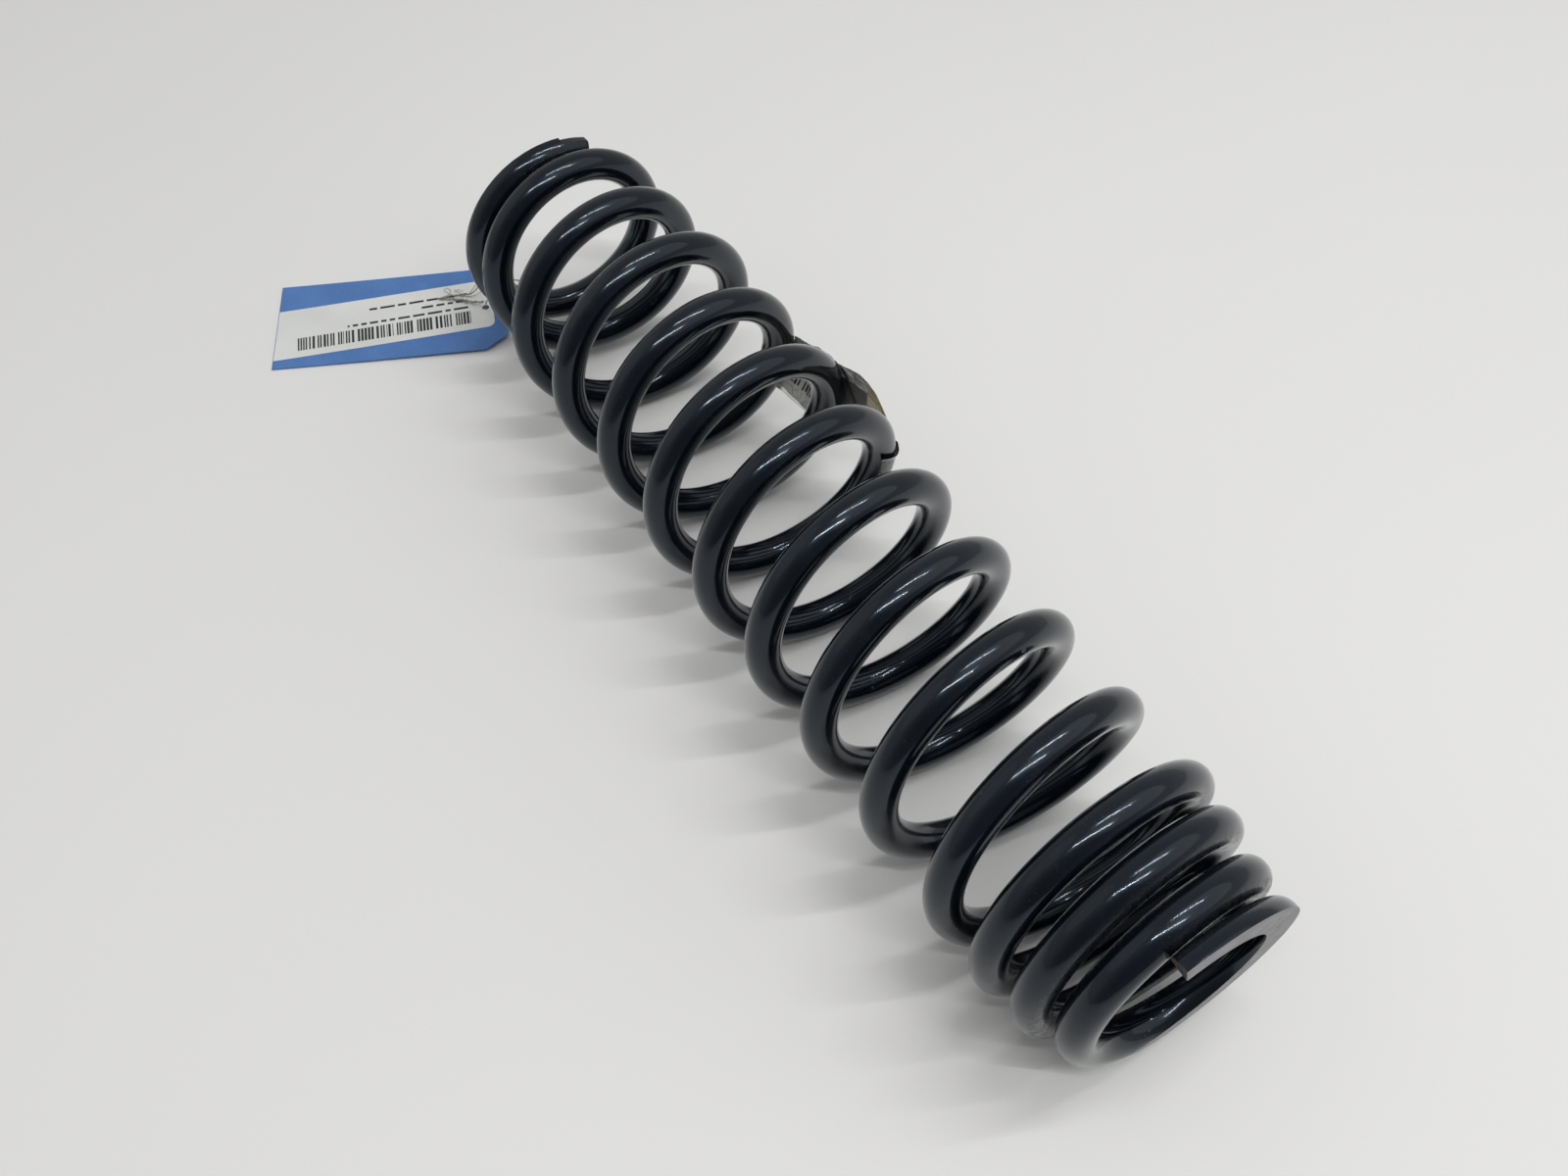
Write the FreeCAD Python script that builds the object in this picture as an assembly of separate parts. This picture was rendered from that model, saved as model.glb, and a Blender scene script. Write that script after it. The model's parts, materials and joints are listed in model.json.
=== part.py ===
import FreeCAD, Part
import math
import os

# Helical compression spring lying on its side, with a film-covered paper label bound over three
# of its coils and a card tag wired to its far end coil.
# Frame: +X along the spring's axis from the near end to the far end, +Z up.
# Origin: on the surface the spring lies on, below the middle of the spring and its label.

V = FreeCAD.Vector
PI2 = 2.0 * math.pi

# ---------------------------------------------------------------- driving dimensions (mm)
WIRE_R = 5.75            # spring bar radius
FREE_LENGTH = 362.5      # between the two ground seats
AXIS_Z = 44.25           # height of the spring's axis over the surface it lies on
AXIS_Y = 1.28            # the axis is off centre by half of what the label stands proud
TURN_LAST = 14.117       # total turns, tip to tip
TURN_NEAR = 3.36         # close-wound near end coils end here, active coils start
TURN_FAR = 13.16         # active coils end here, far end coil starts
TURN_PHASE = 0.0494      # the bar starts this share of a turn before the top
STATIONS = 24            # path points per turn
TAG_LIFT = 0.08          # the tag's free end lies this far over the surface
FACE_GAP = 0.003         # each stretch ends this far short of the plane it shares with the next

# Bar centre along the axis from the near seat, every quarter turn from the near tip.
PITCH_X = [
    0.18, 1.26, 4.01, 8.10, 11.76, 14.40, 17.96, 20.90, 25.12, 28.80, 33.38, 36.46, 40.20, 42.95,
    47.69, 56.00, 64.49, 72.13, 79.96, 87.86, 95.72, 103.56, 111.38, 119.20, 127.02, 134.85,
    142.69, 150.53, 158.39, 166.25, 174.15, 182.07, 190.03, 198.00, 205.96, 213.91, 221.83,
    229.75, 237.68, 245.65, 253.66, 261.72, 269.82, 277.97, 286.15, 294.35, 302.53, 310.69,
    318.89, 327.34, 335.65, 342.65, 348.76, 354.30, 358.10, 360.10, 361.78, 364.95,
]
# Mean coil radius at the same quarter turns. Both ends are drawn in to a smaller coil.
MEAN_R = [
    32.30, 31.72, 30.74, 30.64, 31.82, 33.37, 34.68, 35.64, 36.12, 36.35, 37.04, 37.74, 38.17,
    38.55, 38.70, 38.40, 38.00, 37.95, 37.95, 37.95, 37.95, 37.95, 37.95, 37.95, 37.95, 37.95,
    37.95, 37.95, 37.95, 37.95, 38.06, 38.06, 38.06, 38.06, 38.06, 38.06, 38.06, 38.06, 38.06,
    38.06, 38.06, 38.06, 38.06, 38.40, 38.60, 38.70, 38.70, 38.45, 36.78, 35.46, 35.02, 34.86,
    34.45, 34.08, 34.03, 34.04, 34.07, 34.25,
]
TIP_LEDGE_TURN = 0.045   # the last stretch of the far tip is stepped down
TIP_LEDGE = 1.0          # by this much on its outer side

# Label bound over three neighbouring coils
LABEL_TURNS = (8, 9, 10)
LABEL_PSI = (0.230, 0.333)     # share of a turn from the top, towards -Y
FILM_PSI = (0.226, 0.337)
PAPER_RHO = 43.86              # inner face of the paper
PAPER_T = 0.15
FILM_GAP = 0.03
FILM_T = 0.12
BULGE_NEAR = 2.6               # how far the paper stands out between the first two coils
BULGE_FAR = 0.5                # and between the second two
HOOK_DEG = 118.0               # how far the film wraps round the outer two bars

# Card tag
TAG_L = 95.25
TAG_W = 47.6
TAG_T = 0.3
TAG_CLIP_L = 8.85
TAG_CLIP_W = 7.1
TAG_HOLE_R = 2.4
TAG_HOLE = (86.0, 23.8)
TAG_CORNER = (441.7, 97.5)     # far right corner: from the near seat, and from the spring's axis
TAG_ALONG = (-0.443794, -0.895959)
TAG_TILT_DEG = 1.0
STICKER_W = 28.0
STICKER_T = 0.1
STICKER_R = 3.0
STICKER_SKEW_DEG = 5.2          # the sticker was put on at a slight angle
STICKER_FROM = 0.25            # it ends at the card's free end
STICKER_CORNER = (87.5, 7.0)   # and at this corner, before rounding, by the hole
STICKER_HOLE_R = 1.4

# Wire tie: one strand, from under the tag's hole round the far coil and back over the tag
TIE_D = 0.5
TIE_LOOP_R = 8.6
TIE_TURN = 13.68


# ---------------------------------------------------------------- helpers
def spline(values, step):
    """Natural cubic spline through evenly spaced values, as a function and its slope."""
    n = len(values)
    m = [0.0] * n
    c = [0.0] * n
    d = [0.0] * n
    for i in range(1, n - 1):
        rhs = 6.0 * (values[i + 1] - 2 * values[i] + values[i - 1]) / step ** 2
        w = 4.0 - c[i - 1]
        c[i] = 1.0 / w
        d[i] = (rhs - d[i - 1]) / w
    for i in range(n - 2, 0, -1):
        m[i] = d[i] - c[i] * m[i + 1]

    def at(t):
        i = min(max(int(t / step), 0), n - 2)
        u = t / step - i
        a, b = 1 - u, u
        return (a * values[i] + b * values[i + 1]
                + step ** 2 / 6.0 * ((a ** 3 - a) * m[i] + (b ** 3 - b) * m[i + 1]))

    def slope(t):
        i = min(max(int(t / step), 0), n - 2)
        u = t / step - i
        a, b = 1 - u, u
        return ((values[i + 1] - values[i]) / step
                + step / 6.0 * (-(3 * a * a - 1) * m[i] + (3 * b * b - 1) * m[i + 1]))

    return at, slope


x_at, x_slope = spline(PITCH_X, 0.25)
r_at, r_slope = spline(MEAN_R, 0.25)
MID = FREE_LENGTH / 2.0


def polar(x, rho, psi):
    """Point at x from the near seat, rho from the axis, psi of a turn from the top towards -Y."""
    a = PI2 * psi
    return V(x - MID, AXIS_Y - rho * math.sin(a), AXIS_Z + rho * math.cos(a))


def centre(t):
    return polar(x_at(t), r_at(t), t - TURN_PHASE)


def tangent(t):
    a = PI2 * (t - TURN_PHASE)
    r, dr = r_at(t), r_slope(t)
    v = V(x_slope(t), -dr * math.sin(a) - r * PI2 * math.cos(a),
          dr * math.cos(a) - r * PI2 * math.sin(a))
    return v.normalize()


STEPS = [14.24 * i / (14.24 * STATIONS // 1) for i in range(int(14.24 * STATIONS) + 1)]
path = Part.BSplineCurve()
path.interpolate(Points=[centre(t) for t in STEPS], Parameters=STEPS)


def bar(t0, t1, radius=WIRE_R):
    """The bar from turn t0 to turn t1, along its own stretch of the one path."""
    curve = path.copy()
    curve.segment(t0, t1)
    start = curve.value(curve.FirstParameter)
    heading = curve.tangent(curve.FirstParameter)[0]
    pipe = Part.BRepOffsetAPI.MakePipeShell(Part.Wire([curve.toShape()]))
    pipe.setBiNormalMode(V(1, 0, 0))
    pipe.setTolerance(0.001, 0.001, 0.01)
    pipe.setMaxSegments(1200)
    pipe.add(Part.Wire([Part.makeCircle(radius, start, heading)]))
    pipe.build()
    pipe.makeSolid()
    solid = pipe.shape()
    length = curve.length()
    print("bar %.3f-%.3f: length %.1f volume %.0f of %.0f valid %s" % (
        t0, t1, length, solid.Volume, math.pi * radius ** 2 * length, solid.isValid()))
    return solid


def slab(x_from, x_to):
    """A thick block across the axis, to cut the seats with. x from the near seat."""
    return Part.makeBox(x_to - x_from, 200, 200, V(x_from - MID, AXIS_Y - 100, AXIS_Z - 100))


def single(shape):
    solids = shape.Solids
    solids.sort(key=lambda s: -s.Volume)
    return solids[0]


def save(name, shape):
    pts = shape.tessellate(0.05)[0]
    b = [f(getattr(p, c) for p in pts) for f in (min, max) for c in "xyz"]
    print("%-16s valid %s solids %d volume %.1f box (%.2f %.2f %.2f) (%.2f %.2f %.2f)" % (
        name, shape.isValid(), len(shape.Solids), shape.Volume, *b))
    shape.exportStep("parts/%s.step" % name)


os.makedirs("parts", exist_ok=True)

# ---------------------------------------------------------------- spring bar, in three stretches
closest = min(x_at(t / 50.0 + 1) - x_at(t / 50.0) for t in range(0, int(50 * (TURN_LAST - 1))))
print("closest turns: %.2f between bar centres, bar %.2f" % (closest, 2 * WIRE_R))


def past(t, way):
    """A short round block just past turn t, square to the bar, on its later (1) or earlier (-1) side."""
    return Part.makeCylinder(WIRE_R + 1.2, 8, centre(t) - tangent(t) * (way * FACE_GAP),
                             tangent(t) * way)


SPARE = 0.02             # turns swept past each cut, so that the stretches meet on flat faces
near_end = single(bar(0.0, TURN_NEAR + SPARE).cut(slab(-40, 0)).cut(past(TURN_NEAR, 1)))
active = single(bar(TURN_NEAR - SPARE, TURN_FAR + SPARE)
                .cut(past(TURN_NEAR, -1)).cut(past(TURN_FAR, 1)))
# The two lowest coils are rubbed flat by 0.2 mm where they stand, about 8 mm long each.
active = single(active.cut(Part.makeBox(500, 200, 10, V(-250, -100, -10))))
far_end = single(bar(TURN_FAR - SPARE, TURN_LAST).cut(slab(FREE_LENGTH, FREE_LENGTH + 40))
                 .cut(past(TURN_FAR, -1)))

# The step on the far tip: a curved block outside a smaller radius is taken off.
t0 = TURN_LAST - TIP_LEDGE_TURN
p0, p1 = t0 - TURN_PHASE, TURN_LAST - TURN_PHASE + 0.05
rho = r_at(TURN_LAST) + WIRE_R - TIP_LEDGE
ring_out = Part.makeCylinder(rho + 10, 24, V(FREE_LENGTH - 20 - MID, AXIS_Y, AXIS_Z), V(1, 0, 0))
ring_in = Part.makeCylinder(rho, 30, V(FREE_LENGTH - 23 - MID, AXIS_Y, AXIS_Z), V(1, 0, 0))
wedge_pts = [polar(FREE_LENGTH - 22, 0, 0), polar(FREE_LENGTH - 22, 80, p0),
             polar(FREE_LENGTH - 22, 80, (p0 + p1) / 2), polar(FREE_LENGTH - 22, 80, p1)]
wedge = Part.Face(Part.makePolygon(wedge_pts + [wedge_pts[0]])).extrude(V(40, 0, 0))
step = ring_out.cut(ring_in).common(wedge)
print("tip step: %.1f cubic mm off" % far_end.common(step).Volume)
far_end = single(far_end.cut(step))

save("near_end_coils", near_end)
save("active_coils", active)
save("far_end_coils", far_end)


# ---------------------------------------------------------------- label over three coils
def bars_at(psi):
    ts = [psi + TURN_PHASE + n for n in LABEL_TURNS]
    return [(x_at(t), r_at(t)) for t in ts]


def bulge(x, xs):
    for lo, hi, h in ((xs[0], xs[1], BULGE_NEAR), (xs[1], xs[2], BULGE_FAR)):
        if lo < x < hi:
            return h * math.sin(math.pi * (x - lo) / (hi - lo)) ** 2
    return 0.0


def paper_line(psi, rho, inset=1.0, n=36):
    xs = [x for x, _ in bars_at(psi)]
    lo, hi = xs[0] + inset, xs[2] - inset
    pts = []
    for i in range(n + 1):
        x = lo + (hi - lo) * i / n
        pts.append(polar(x, rho + bulge(x, xs), psi))
    return pts


def film_line(psi, rho, n=36, hook=10):
    """Round the first bar, over the paper, and round the last bar, at rho from the axis."""
    (xc, rc), _, (xa, ra) = bars_at(psi)
    xs = [x for x, _ in bars_at(psi)]
    pts = []
    for i in range(hook):
        a = math.radians(90 + HOOK_DEG * (1 - i / float(hook)))
        d = rho - rc
        pts.append(polar(xc + d * math.cos(a), rc + d * math.sin(a), psi))
    for i in range(n + 1):
        x = xc + (xa - xc) * i / n
        base = rho
        pts.append(polar(x, base + bulge(x, xs), psi))
    for i in range(1, hook + 1):
        a = math.radians(90 - HOOK_DEG * i / float(hook))
        d = rho - ra
        pts.append(polar(xa + d * math.cos(a), ra + d * math.sin(a), psi))
    return pts


def skin(line, psi_range, rho_in, rho_out, stations=8):
    """A thin closed sheet between two such lines, lofted round the axis."""
    wires = []
    for i in range(stations + 1):
        psi = psi_range[0] + (psi_range[1] - psi_range[0]) * i / stations
        inner, outer = line(psi, rho_in), line(psi, rho_out)
        ci, co = Part.BSplineCurve(), Part.BSplineCurve()
        ci.interpolate(Points=inner)
        co.interpolate(Points=outer)
        wires.append(Part.Wire([ci.toShape(), Part.makeLine(inner[-1], outer[-1]),
                                co.toShape(), Part.makeLine(inner[0], outer[0])]))
    return Part.makeLoft(wires, True, False)


sheet_ = skin(paper_line, LABEL_PSI, PAPER_RHO, PAPER_RHO + PAPER_T)
film_in = PAPER_RHO + PAPER_T + FILM_GAP
tape = skin(film_line, FILM_PSI, film_in, film_in + FILM_T)
save("label_sheet", sheet_)
save("label_tape", tape)

# ---------------------------------------------------------------- card tag and its sticker
tilt = math.radians(TAG_TILT_DEG)
along = V(TAG_ALONG[0] * math.cos(tilt), TAG_ALONG[1] * math.cos(tilt), math.sin(tilt))
across = V(TAG_ALONG[1], -TAG_ALONG[0], 0)
across.normalize()
up = across.cross(along)
if up.z < 0:
    up = up.negative()
corner = V(TAG_CORNER[0] - MID, AXIS_Y + TAG_CORNER[1], TAG_LIFT)


def on_tag(a, c, h=0.0):
    return corner + along * a + across * c + up * h


def plate(outline, base, thick):
    return Part.Face(Part.makePolygon([on_tag(a, c, base) for a, c in outline + [outline[0]]])
                     ).extrude(up * thick)


outline = [(0, 0), (TAG_L - TAG_CLIP_L, 0), (TAG_L, TAG_CLIP_W), (TAG_L, TAG_W - TAG_CLIP_W),
           (TAG_L - TAG_CLIP_L, TAG_W), (0, TAG_W)]
card = plate(outline, 0.0, TAG_T)
card = card.cut(Part.makeCylinder(TAG_HOLE_R, 3, on_tag(TAG_HOLE[0], TAG_HOLE[1], -1), up))

skew = math.radians(STICKER_SKEW_DEG)
su, sv = (math.cos(skew), -math.sin(skew)), (math.sin(skew), math.cos(skew))
pts = []
for v, start in ((STICKER_R, -90), (STICKER_W - STICKER_R, 0)):
    ca = STICKER_CORNER[0] - su[0] * STICKER_R + sv[0] * v
    cc = STICKER_CORNER[1] - su[1] * STICKER_R + sv[1] * v
    for k in range(7):
        g = math.radians(start + 15 * k)
        pts.append((ca + STICKER_R * (su[0] * math.cos(g) + sv[0] * math.sin(g)),
                    cc + STICKER_R * (su[1] * math.cos(g) + sv[1] * math.sin(g))))
fall = math.tan(skew)
low = (STICKER_FROM, STICKER_CORNER[1] + (STICKER_CORNER[0] - STICKER_FROM) * fall)
high = (STICKER_FROM, low[1] + STICKER_W / math.cos(skew))
outline = [low] + pts + [high]
sticker = plate(outline, TAG_T, STICKER_T)
sticker = sticker.cut(
    Part.makeCylinder(STICKER_HOLE_R, 3, on_tag(TAG_HOLE[0], TAG_HOLE[1], -1), up))
save("tag_card", single(card))
save("tag_sticker", single(sticker))


# ---------------------------------------------------------------- wire tie
def round_path(points):
    """Straight runs joined by tangent arcs, each 0.45 of its shorter run over tan(half the turn)."""
    edges, at = [], points[0]
    total, tightest, sharpest = 0.0, 1e9, 0.0
    for i in range(1, len(points) - 1):
        p, q, r = points[i - 1], points[i], points[i + 1]
        d1, d2 = (q - p), (r - q)
        l1, l2 = d1.Length, d2.Length
        d1.normalize()
        d2.normalize()
        turn = math.acos(max(-1.0, min(1.0, d1.dot(d2))))
        cut = 0.45 * min(l1, l2)
        rad = cut / math.tan(turn / 2)
        s, e = q - d1 * cut, q + d2 * cut
        bis = (d2 - d1).normalize()
        c = q + bis * (rad / math.cos(turn / 2))
        m = c - bis * rad
        edges.append(Part.LineSegment(at, s).toShape())
        edges.append(Part.Arc(s, m, e).toShape())
        total += (s - at).Length + rad * turn
        tightest, sharpest = min(tightest, rad), max(sharpest, math.degrees(turn))
        print("  tie point %2d: runs %.1f %.1f turn %.0f radius %.1f" % (
            i, l1, l2, math.degrees(turn), rad))
        at = e
    edges.append(Part.LineSegment(at, points[-1]).toShape())
    total += (points[-1] - at).Length
    return Part.Wire(edges), total, tightest, sharpest


w = centre(TIE_TURN)
et = tangent(TIE_TURN)
ang = PI2 * (TIE_TURN - TURN_PHASE)
er = V(0, -math.sin(ang), math.cos(ang))
ex = et.cross(er)
if ex.x < 0:
    ex = ex.negative()


def round_bar(deg, drift, radius=TIE_LOOP_R):
    a = math.radians(deg)
    return w + ex * (radius * math.cos(a)) + er * (radius * math.sin(a)) + et * drift


def loc(x, y, z):
    """From the near seat, the spring's axis and the surface."""
    return V(x - MID, AXIS_Y + y, z)


hole = on_tag(TAG_HOLE[0], TAG_HOLE[1])
tie_points = [
    hole + V(0, 0, -0.7),
    hole + V(-0.3, -0.3, 3.9),
    loc(378.0, 29.6, 9.4),
    loc(372.3, 28.2, 12.6),
    round_bar(40, -3.0),
    round_bar(98, -2.0),
    round_bar(157, -0.9),
    round_bar(218, 0.3),
    round_bar(277, 1.4),
    round_bar(336, 2.4),
    loc(375.6, 24.9, 22.3),
    loc(383.5, 26.3, 16.6),
    loc(389.0, 28.6, 9.6),
    loc(390.6, 31.6, 4.2),
    loc(393.0, 35.6, 2.45),
    loc(396.4, 39.4, 2.35),
    loc(397.2, 44.4, 2.3),
]
for p in tie_points:
    print("  route (%.2f, %.2f, %.2f)" % (p.x, p.y, p.z))
path, length, tightest, sharpest = round_path(tie_points)
first = (tie_points[1] - tie_points[0]).normalize()
ring = Part.Wire([Part.makeCircle(TIE_D / 2, tie_points[0], first)])
tie = path.makePipeShell([ring], True, False)
print("tie: length %.1f tightest radius %.2f sharpest turn %.0f volume %.3f of %.3f" % (
    length, tightest, sharpest, tie.Volume, math.pi * TIE_D ** 2 / 4 * length))
save("tag_tie", tie)
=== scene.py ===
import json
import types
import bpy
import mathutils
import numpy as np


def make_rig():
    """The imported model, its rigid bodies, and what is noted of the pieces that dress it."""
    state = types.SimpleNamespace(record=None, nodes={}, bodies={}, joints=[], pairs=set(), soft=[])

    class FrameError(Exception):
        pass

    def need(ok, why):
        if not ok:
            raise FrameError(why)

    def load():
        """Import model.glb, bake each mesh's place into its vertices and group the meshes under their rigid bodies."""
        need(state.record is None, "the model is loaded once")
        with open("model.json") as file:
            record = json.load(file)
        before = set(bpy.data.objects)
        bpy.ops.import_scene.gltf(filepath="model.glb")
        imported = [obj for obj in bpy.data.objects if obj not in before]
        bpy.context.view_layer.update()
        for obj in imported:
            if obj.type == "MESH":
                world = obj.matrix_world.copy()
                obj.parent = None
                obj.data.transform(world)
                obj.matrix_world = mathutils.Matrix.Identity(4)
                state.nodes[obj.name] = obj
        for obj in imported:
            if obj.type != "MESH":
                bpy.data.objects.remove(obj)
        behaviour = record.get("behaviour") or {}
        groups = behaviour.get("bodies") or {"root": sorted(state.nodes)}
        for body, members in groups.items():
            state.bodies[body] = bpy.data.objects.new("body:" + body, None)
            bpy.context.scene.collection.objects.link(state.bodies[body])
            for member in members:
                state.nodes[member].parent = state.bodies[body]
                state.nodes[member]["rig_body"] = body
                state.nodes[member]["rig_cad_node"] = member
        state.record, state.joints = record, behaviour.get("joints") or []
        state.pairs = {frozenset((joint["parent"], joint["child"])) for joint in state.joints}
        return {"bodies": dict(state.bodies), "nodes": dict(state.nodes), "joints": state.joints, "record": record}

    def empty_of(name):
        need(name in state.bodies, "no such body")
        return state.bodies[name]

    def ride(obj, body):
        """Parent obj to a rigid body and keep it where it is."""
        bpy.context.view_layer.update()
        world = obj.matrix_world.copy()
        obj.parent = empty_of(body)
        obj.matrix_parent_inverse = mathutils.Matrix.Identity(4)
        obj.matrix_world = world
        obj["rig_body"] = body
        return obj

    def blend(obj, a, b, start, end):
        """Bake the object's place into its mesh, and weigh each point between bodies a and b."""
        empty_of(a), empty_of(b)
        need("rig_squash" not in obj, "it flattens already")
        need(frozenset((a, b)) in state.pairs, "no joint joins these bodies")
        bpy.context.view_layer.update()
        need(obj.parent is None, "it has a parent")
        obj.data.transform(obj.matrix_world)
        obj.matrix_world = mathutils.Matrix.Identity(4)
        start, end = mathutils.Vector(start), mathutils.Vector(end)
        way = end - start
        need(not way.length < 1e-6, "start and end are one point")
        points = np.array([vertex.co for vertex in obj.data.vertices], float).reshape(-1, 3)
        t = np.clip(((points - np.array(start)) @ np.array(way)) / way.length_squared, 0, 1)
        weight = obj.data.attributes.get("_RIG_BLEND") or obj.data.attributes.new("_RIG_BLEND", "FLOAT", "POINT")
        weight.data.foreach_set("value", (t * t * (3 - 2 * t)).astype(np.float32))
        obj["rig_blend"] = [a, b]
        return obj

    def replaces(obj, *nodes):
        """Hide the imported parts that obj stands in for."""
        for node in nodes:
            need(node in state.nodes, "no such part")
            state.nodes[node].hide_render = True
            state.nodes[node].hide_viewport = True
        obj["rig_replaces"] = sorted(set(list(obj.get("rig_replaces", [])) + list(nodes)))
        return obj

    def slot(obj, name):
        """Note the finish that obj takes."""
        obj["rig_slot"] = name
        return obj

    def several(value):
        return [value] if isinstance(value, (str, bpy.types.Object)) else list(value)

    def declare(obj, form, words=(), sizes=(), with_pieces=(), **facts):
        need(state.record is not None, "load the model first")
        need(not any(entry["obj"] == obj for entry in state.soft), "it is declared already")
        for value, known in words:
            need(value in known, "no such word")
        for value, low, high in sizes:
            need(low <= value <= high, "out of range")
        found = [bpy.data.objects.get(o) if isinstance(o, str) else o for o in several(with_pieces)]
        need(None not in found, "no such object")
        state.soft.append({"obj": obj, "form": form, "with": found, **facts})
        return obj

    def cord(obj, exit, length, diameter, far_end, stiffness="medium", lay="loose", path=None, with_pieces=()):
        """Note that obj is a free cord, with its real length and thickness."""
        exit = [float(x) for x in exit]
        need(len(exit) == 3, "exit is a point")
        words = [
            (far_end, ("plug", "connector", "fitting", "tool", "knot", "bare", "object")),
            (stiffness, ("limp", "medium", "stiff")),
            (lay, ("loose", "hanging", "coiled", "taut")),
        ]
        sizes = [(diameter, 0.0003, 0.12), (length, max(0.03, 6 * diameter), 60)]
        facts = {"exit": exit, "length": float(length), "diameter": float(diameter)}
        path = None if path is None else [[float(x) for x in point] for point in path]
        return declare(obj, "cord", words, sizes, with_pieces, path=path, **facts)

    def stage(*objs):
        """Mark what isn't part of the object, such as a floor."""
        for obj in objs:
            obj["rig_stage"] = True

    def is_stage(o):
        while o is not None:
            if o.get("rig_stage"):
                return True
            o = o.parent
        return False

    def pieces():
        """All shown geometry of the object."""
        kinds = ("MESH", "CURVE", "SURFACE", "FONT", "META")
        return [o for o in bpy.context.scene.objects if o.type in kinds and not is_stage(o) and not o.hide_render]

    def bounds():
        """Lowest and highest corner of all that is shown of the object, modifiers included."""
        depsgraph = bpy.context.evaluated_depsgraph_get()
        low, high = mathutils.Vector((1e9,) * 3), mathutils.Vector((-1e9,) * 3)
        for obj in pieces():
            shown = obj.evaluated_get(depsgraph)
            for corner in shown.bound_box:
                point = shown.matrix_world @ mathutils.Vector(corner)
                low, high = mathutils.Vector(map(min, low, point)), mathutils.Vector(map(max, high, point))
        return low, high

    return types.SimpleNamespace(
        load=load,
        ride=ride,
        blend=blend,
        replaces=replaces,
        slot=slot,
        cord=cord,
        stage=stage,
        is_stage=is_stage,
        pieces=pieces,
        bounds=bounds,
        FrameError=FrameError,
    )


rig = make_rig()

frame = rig.load()

import json
import math
import random

import bpy
import numpy as np
from mathutils import Matrix, Vector, noise

cad_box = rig.bounds()
MM = 0.001
PI2 = 2.0 * math.pi
rng = random.Random(7)

# ------------------------------------------------------------------ spring: same law as the CAD
WIRE_R = 5.75
FREE = 362.5
MID = FREE / 2
AXIS_Y = 1.28
AXIS_Z = 44.25
PHASE = 0.0494
T_LAST = 14.117
T_NEAR = 3.36
T_FAR = 13.16
LEDGE_TURN = 0.045
LEDGE = 1.0
PITCH_X = np.array([
    0.18, 1.26, 4.01, 8.10, 11.76, 14.40, 17.96, 20.90, 25.12, 28.80, 33.38, 36.46, 40.20, 42.95,
    47.69, 56.00, 64.49, 72.13, 79.96, 87.86, 95.72, 103.56, 111.38, 119.20, 127.02, 134.85,
    142.69, 150.53, 158.39, 166.25, 174.15, 182.07, 190.03, 198.00, 205.96, 213.91, 221.83,
    229.75, 237.68, 245.65, 253.66, 261.72, 269.82, 277.97, 286.15, 294.35, 302.53, 310.69,
    318.89, 327.34, 335.65, 342.65, 348.76, 354.30, 358.10, 360.10, 361.78, 364.95])
MEAN_R = np.array([
    32.30, 31.72, 30.74, 30.64, 31.82, 33.37, 34.68, 35.64, 36.12, 36.35, 37.04, 37.74, 38.17,
    38.55, 38.70, 38.40, 38.00, 37.95, 37.95, 37.95, 37.95, 37.95, 37.95, 37.95, 37.95, 37.95,
    37.95, 37.95, 37.95, 37.95, 38.06, 38.06, 38.06, 38.06, 38.06, 38.06, 38.06, 38.06, 38.06,
    38.06, 38.06, 38.06, 38.06, 38.40, 38.60, 38.70, 38.70, 38.45, 36.78, 35.46, 35.02, 34.86,
    34.45, 34.08, 34.03, 34.04, 34.07, 34.25])


def natural(values, h=0.25):
    n = len(values)
    a = np.zeros((n, n))
    b = np.zeros(n)
    a[0, 0] = a[-1, -1] = 1
    for i in range(1, n - 1):
        a[i, i - 1:i + 2] = (1, 4, 1)
        b[i] = 6 * (values[i + 1] - 2 * values[i] + values[i - 1]) / h ** 2
    m = np.linalg.solve(a, b)

    def at(t):
        t = np.asarray(t, float)
        i = np.clip((t / h).astype(int), 0, n - 2)
        u = t / h - i
        v = 1 - u
        return (v * values[i] + u * values[i + 1]
                + h * h / 6 * ((v ** 3 - v) * m[i] + (u ** 3 - u) * m[i + 1]))

    def slope(t):
        t = np.asarray(t, float)
        i = np.clip((t / h).astype(int), 0, n - 2)
        u = t / h - i
        v = 1 - u
        return ((values[i + 1] - values[i]) / h
                + h / 6 * (-(3 * v * v - 1) * m[i] + (3 * u * u - 1) * m[i + 1]))

    return at, slope


x_at, x_slope = natural(PITCH_X)
r_at, r_slope = natural(MEAN_R)
X_NEAR, X_FAR = float(x_at(T_NEAR)), float(x_at(T_FAR))
SOLID_PITCH = 12.0


def follow(t):
    """How much of the far end's travel the bar takes on at turn t."""
    t = np.asarray(t, float)
    k = SOLID_PITCH
    w = (x_at(t) - X_NEAR - k * (t - T_NEAR)) / (X_FAR - X_NEAR - k * (T_FAR - T_NEAR))
    return np.where(t <= T_NEAR, 0.0, np.where(t >= T_FAR, 1.0, np.clip(w, 0, 1)))


def smooth(x):
    x = np.clip(x, 0, 1)
    return x * x * (3 - 2 * x)


def polar(x, rho, psi):
    a = PI2 * np.asarray(psi, float)
    return np.stack(np.broadcast_arrays(x - MID, AXIS_Y - rho * np.sin(a), AXIS_Z + rho * np.cos(a)), -1)


def unit(v):
    return v / np.linalg.norm(v, axis=-1, keepdims=True)


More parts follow.
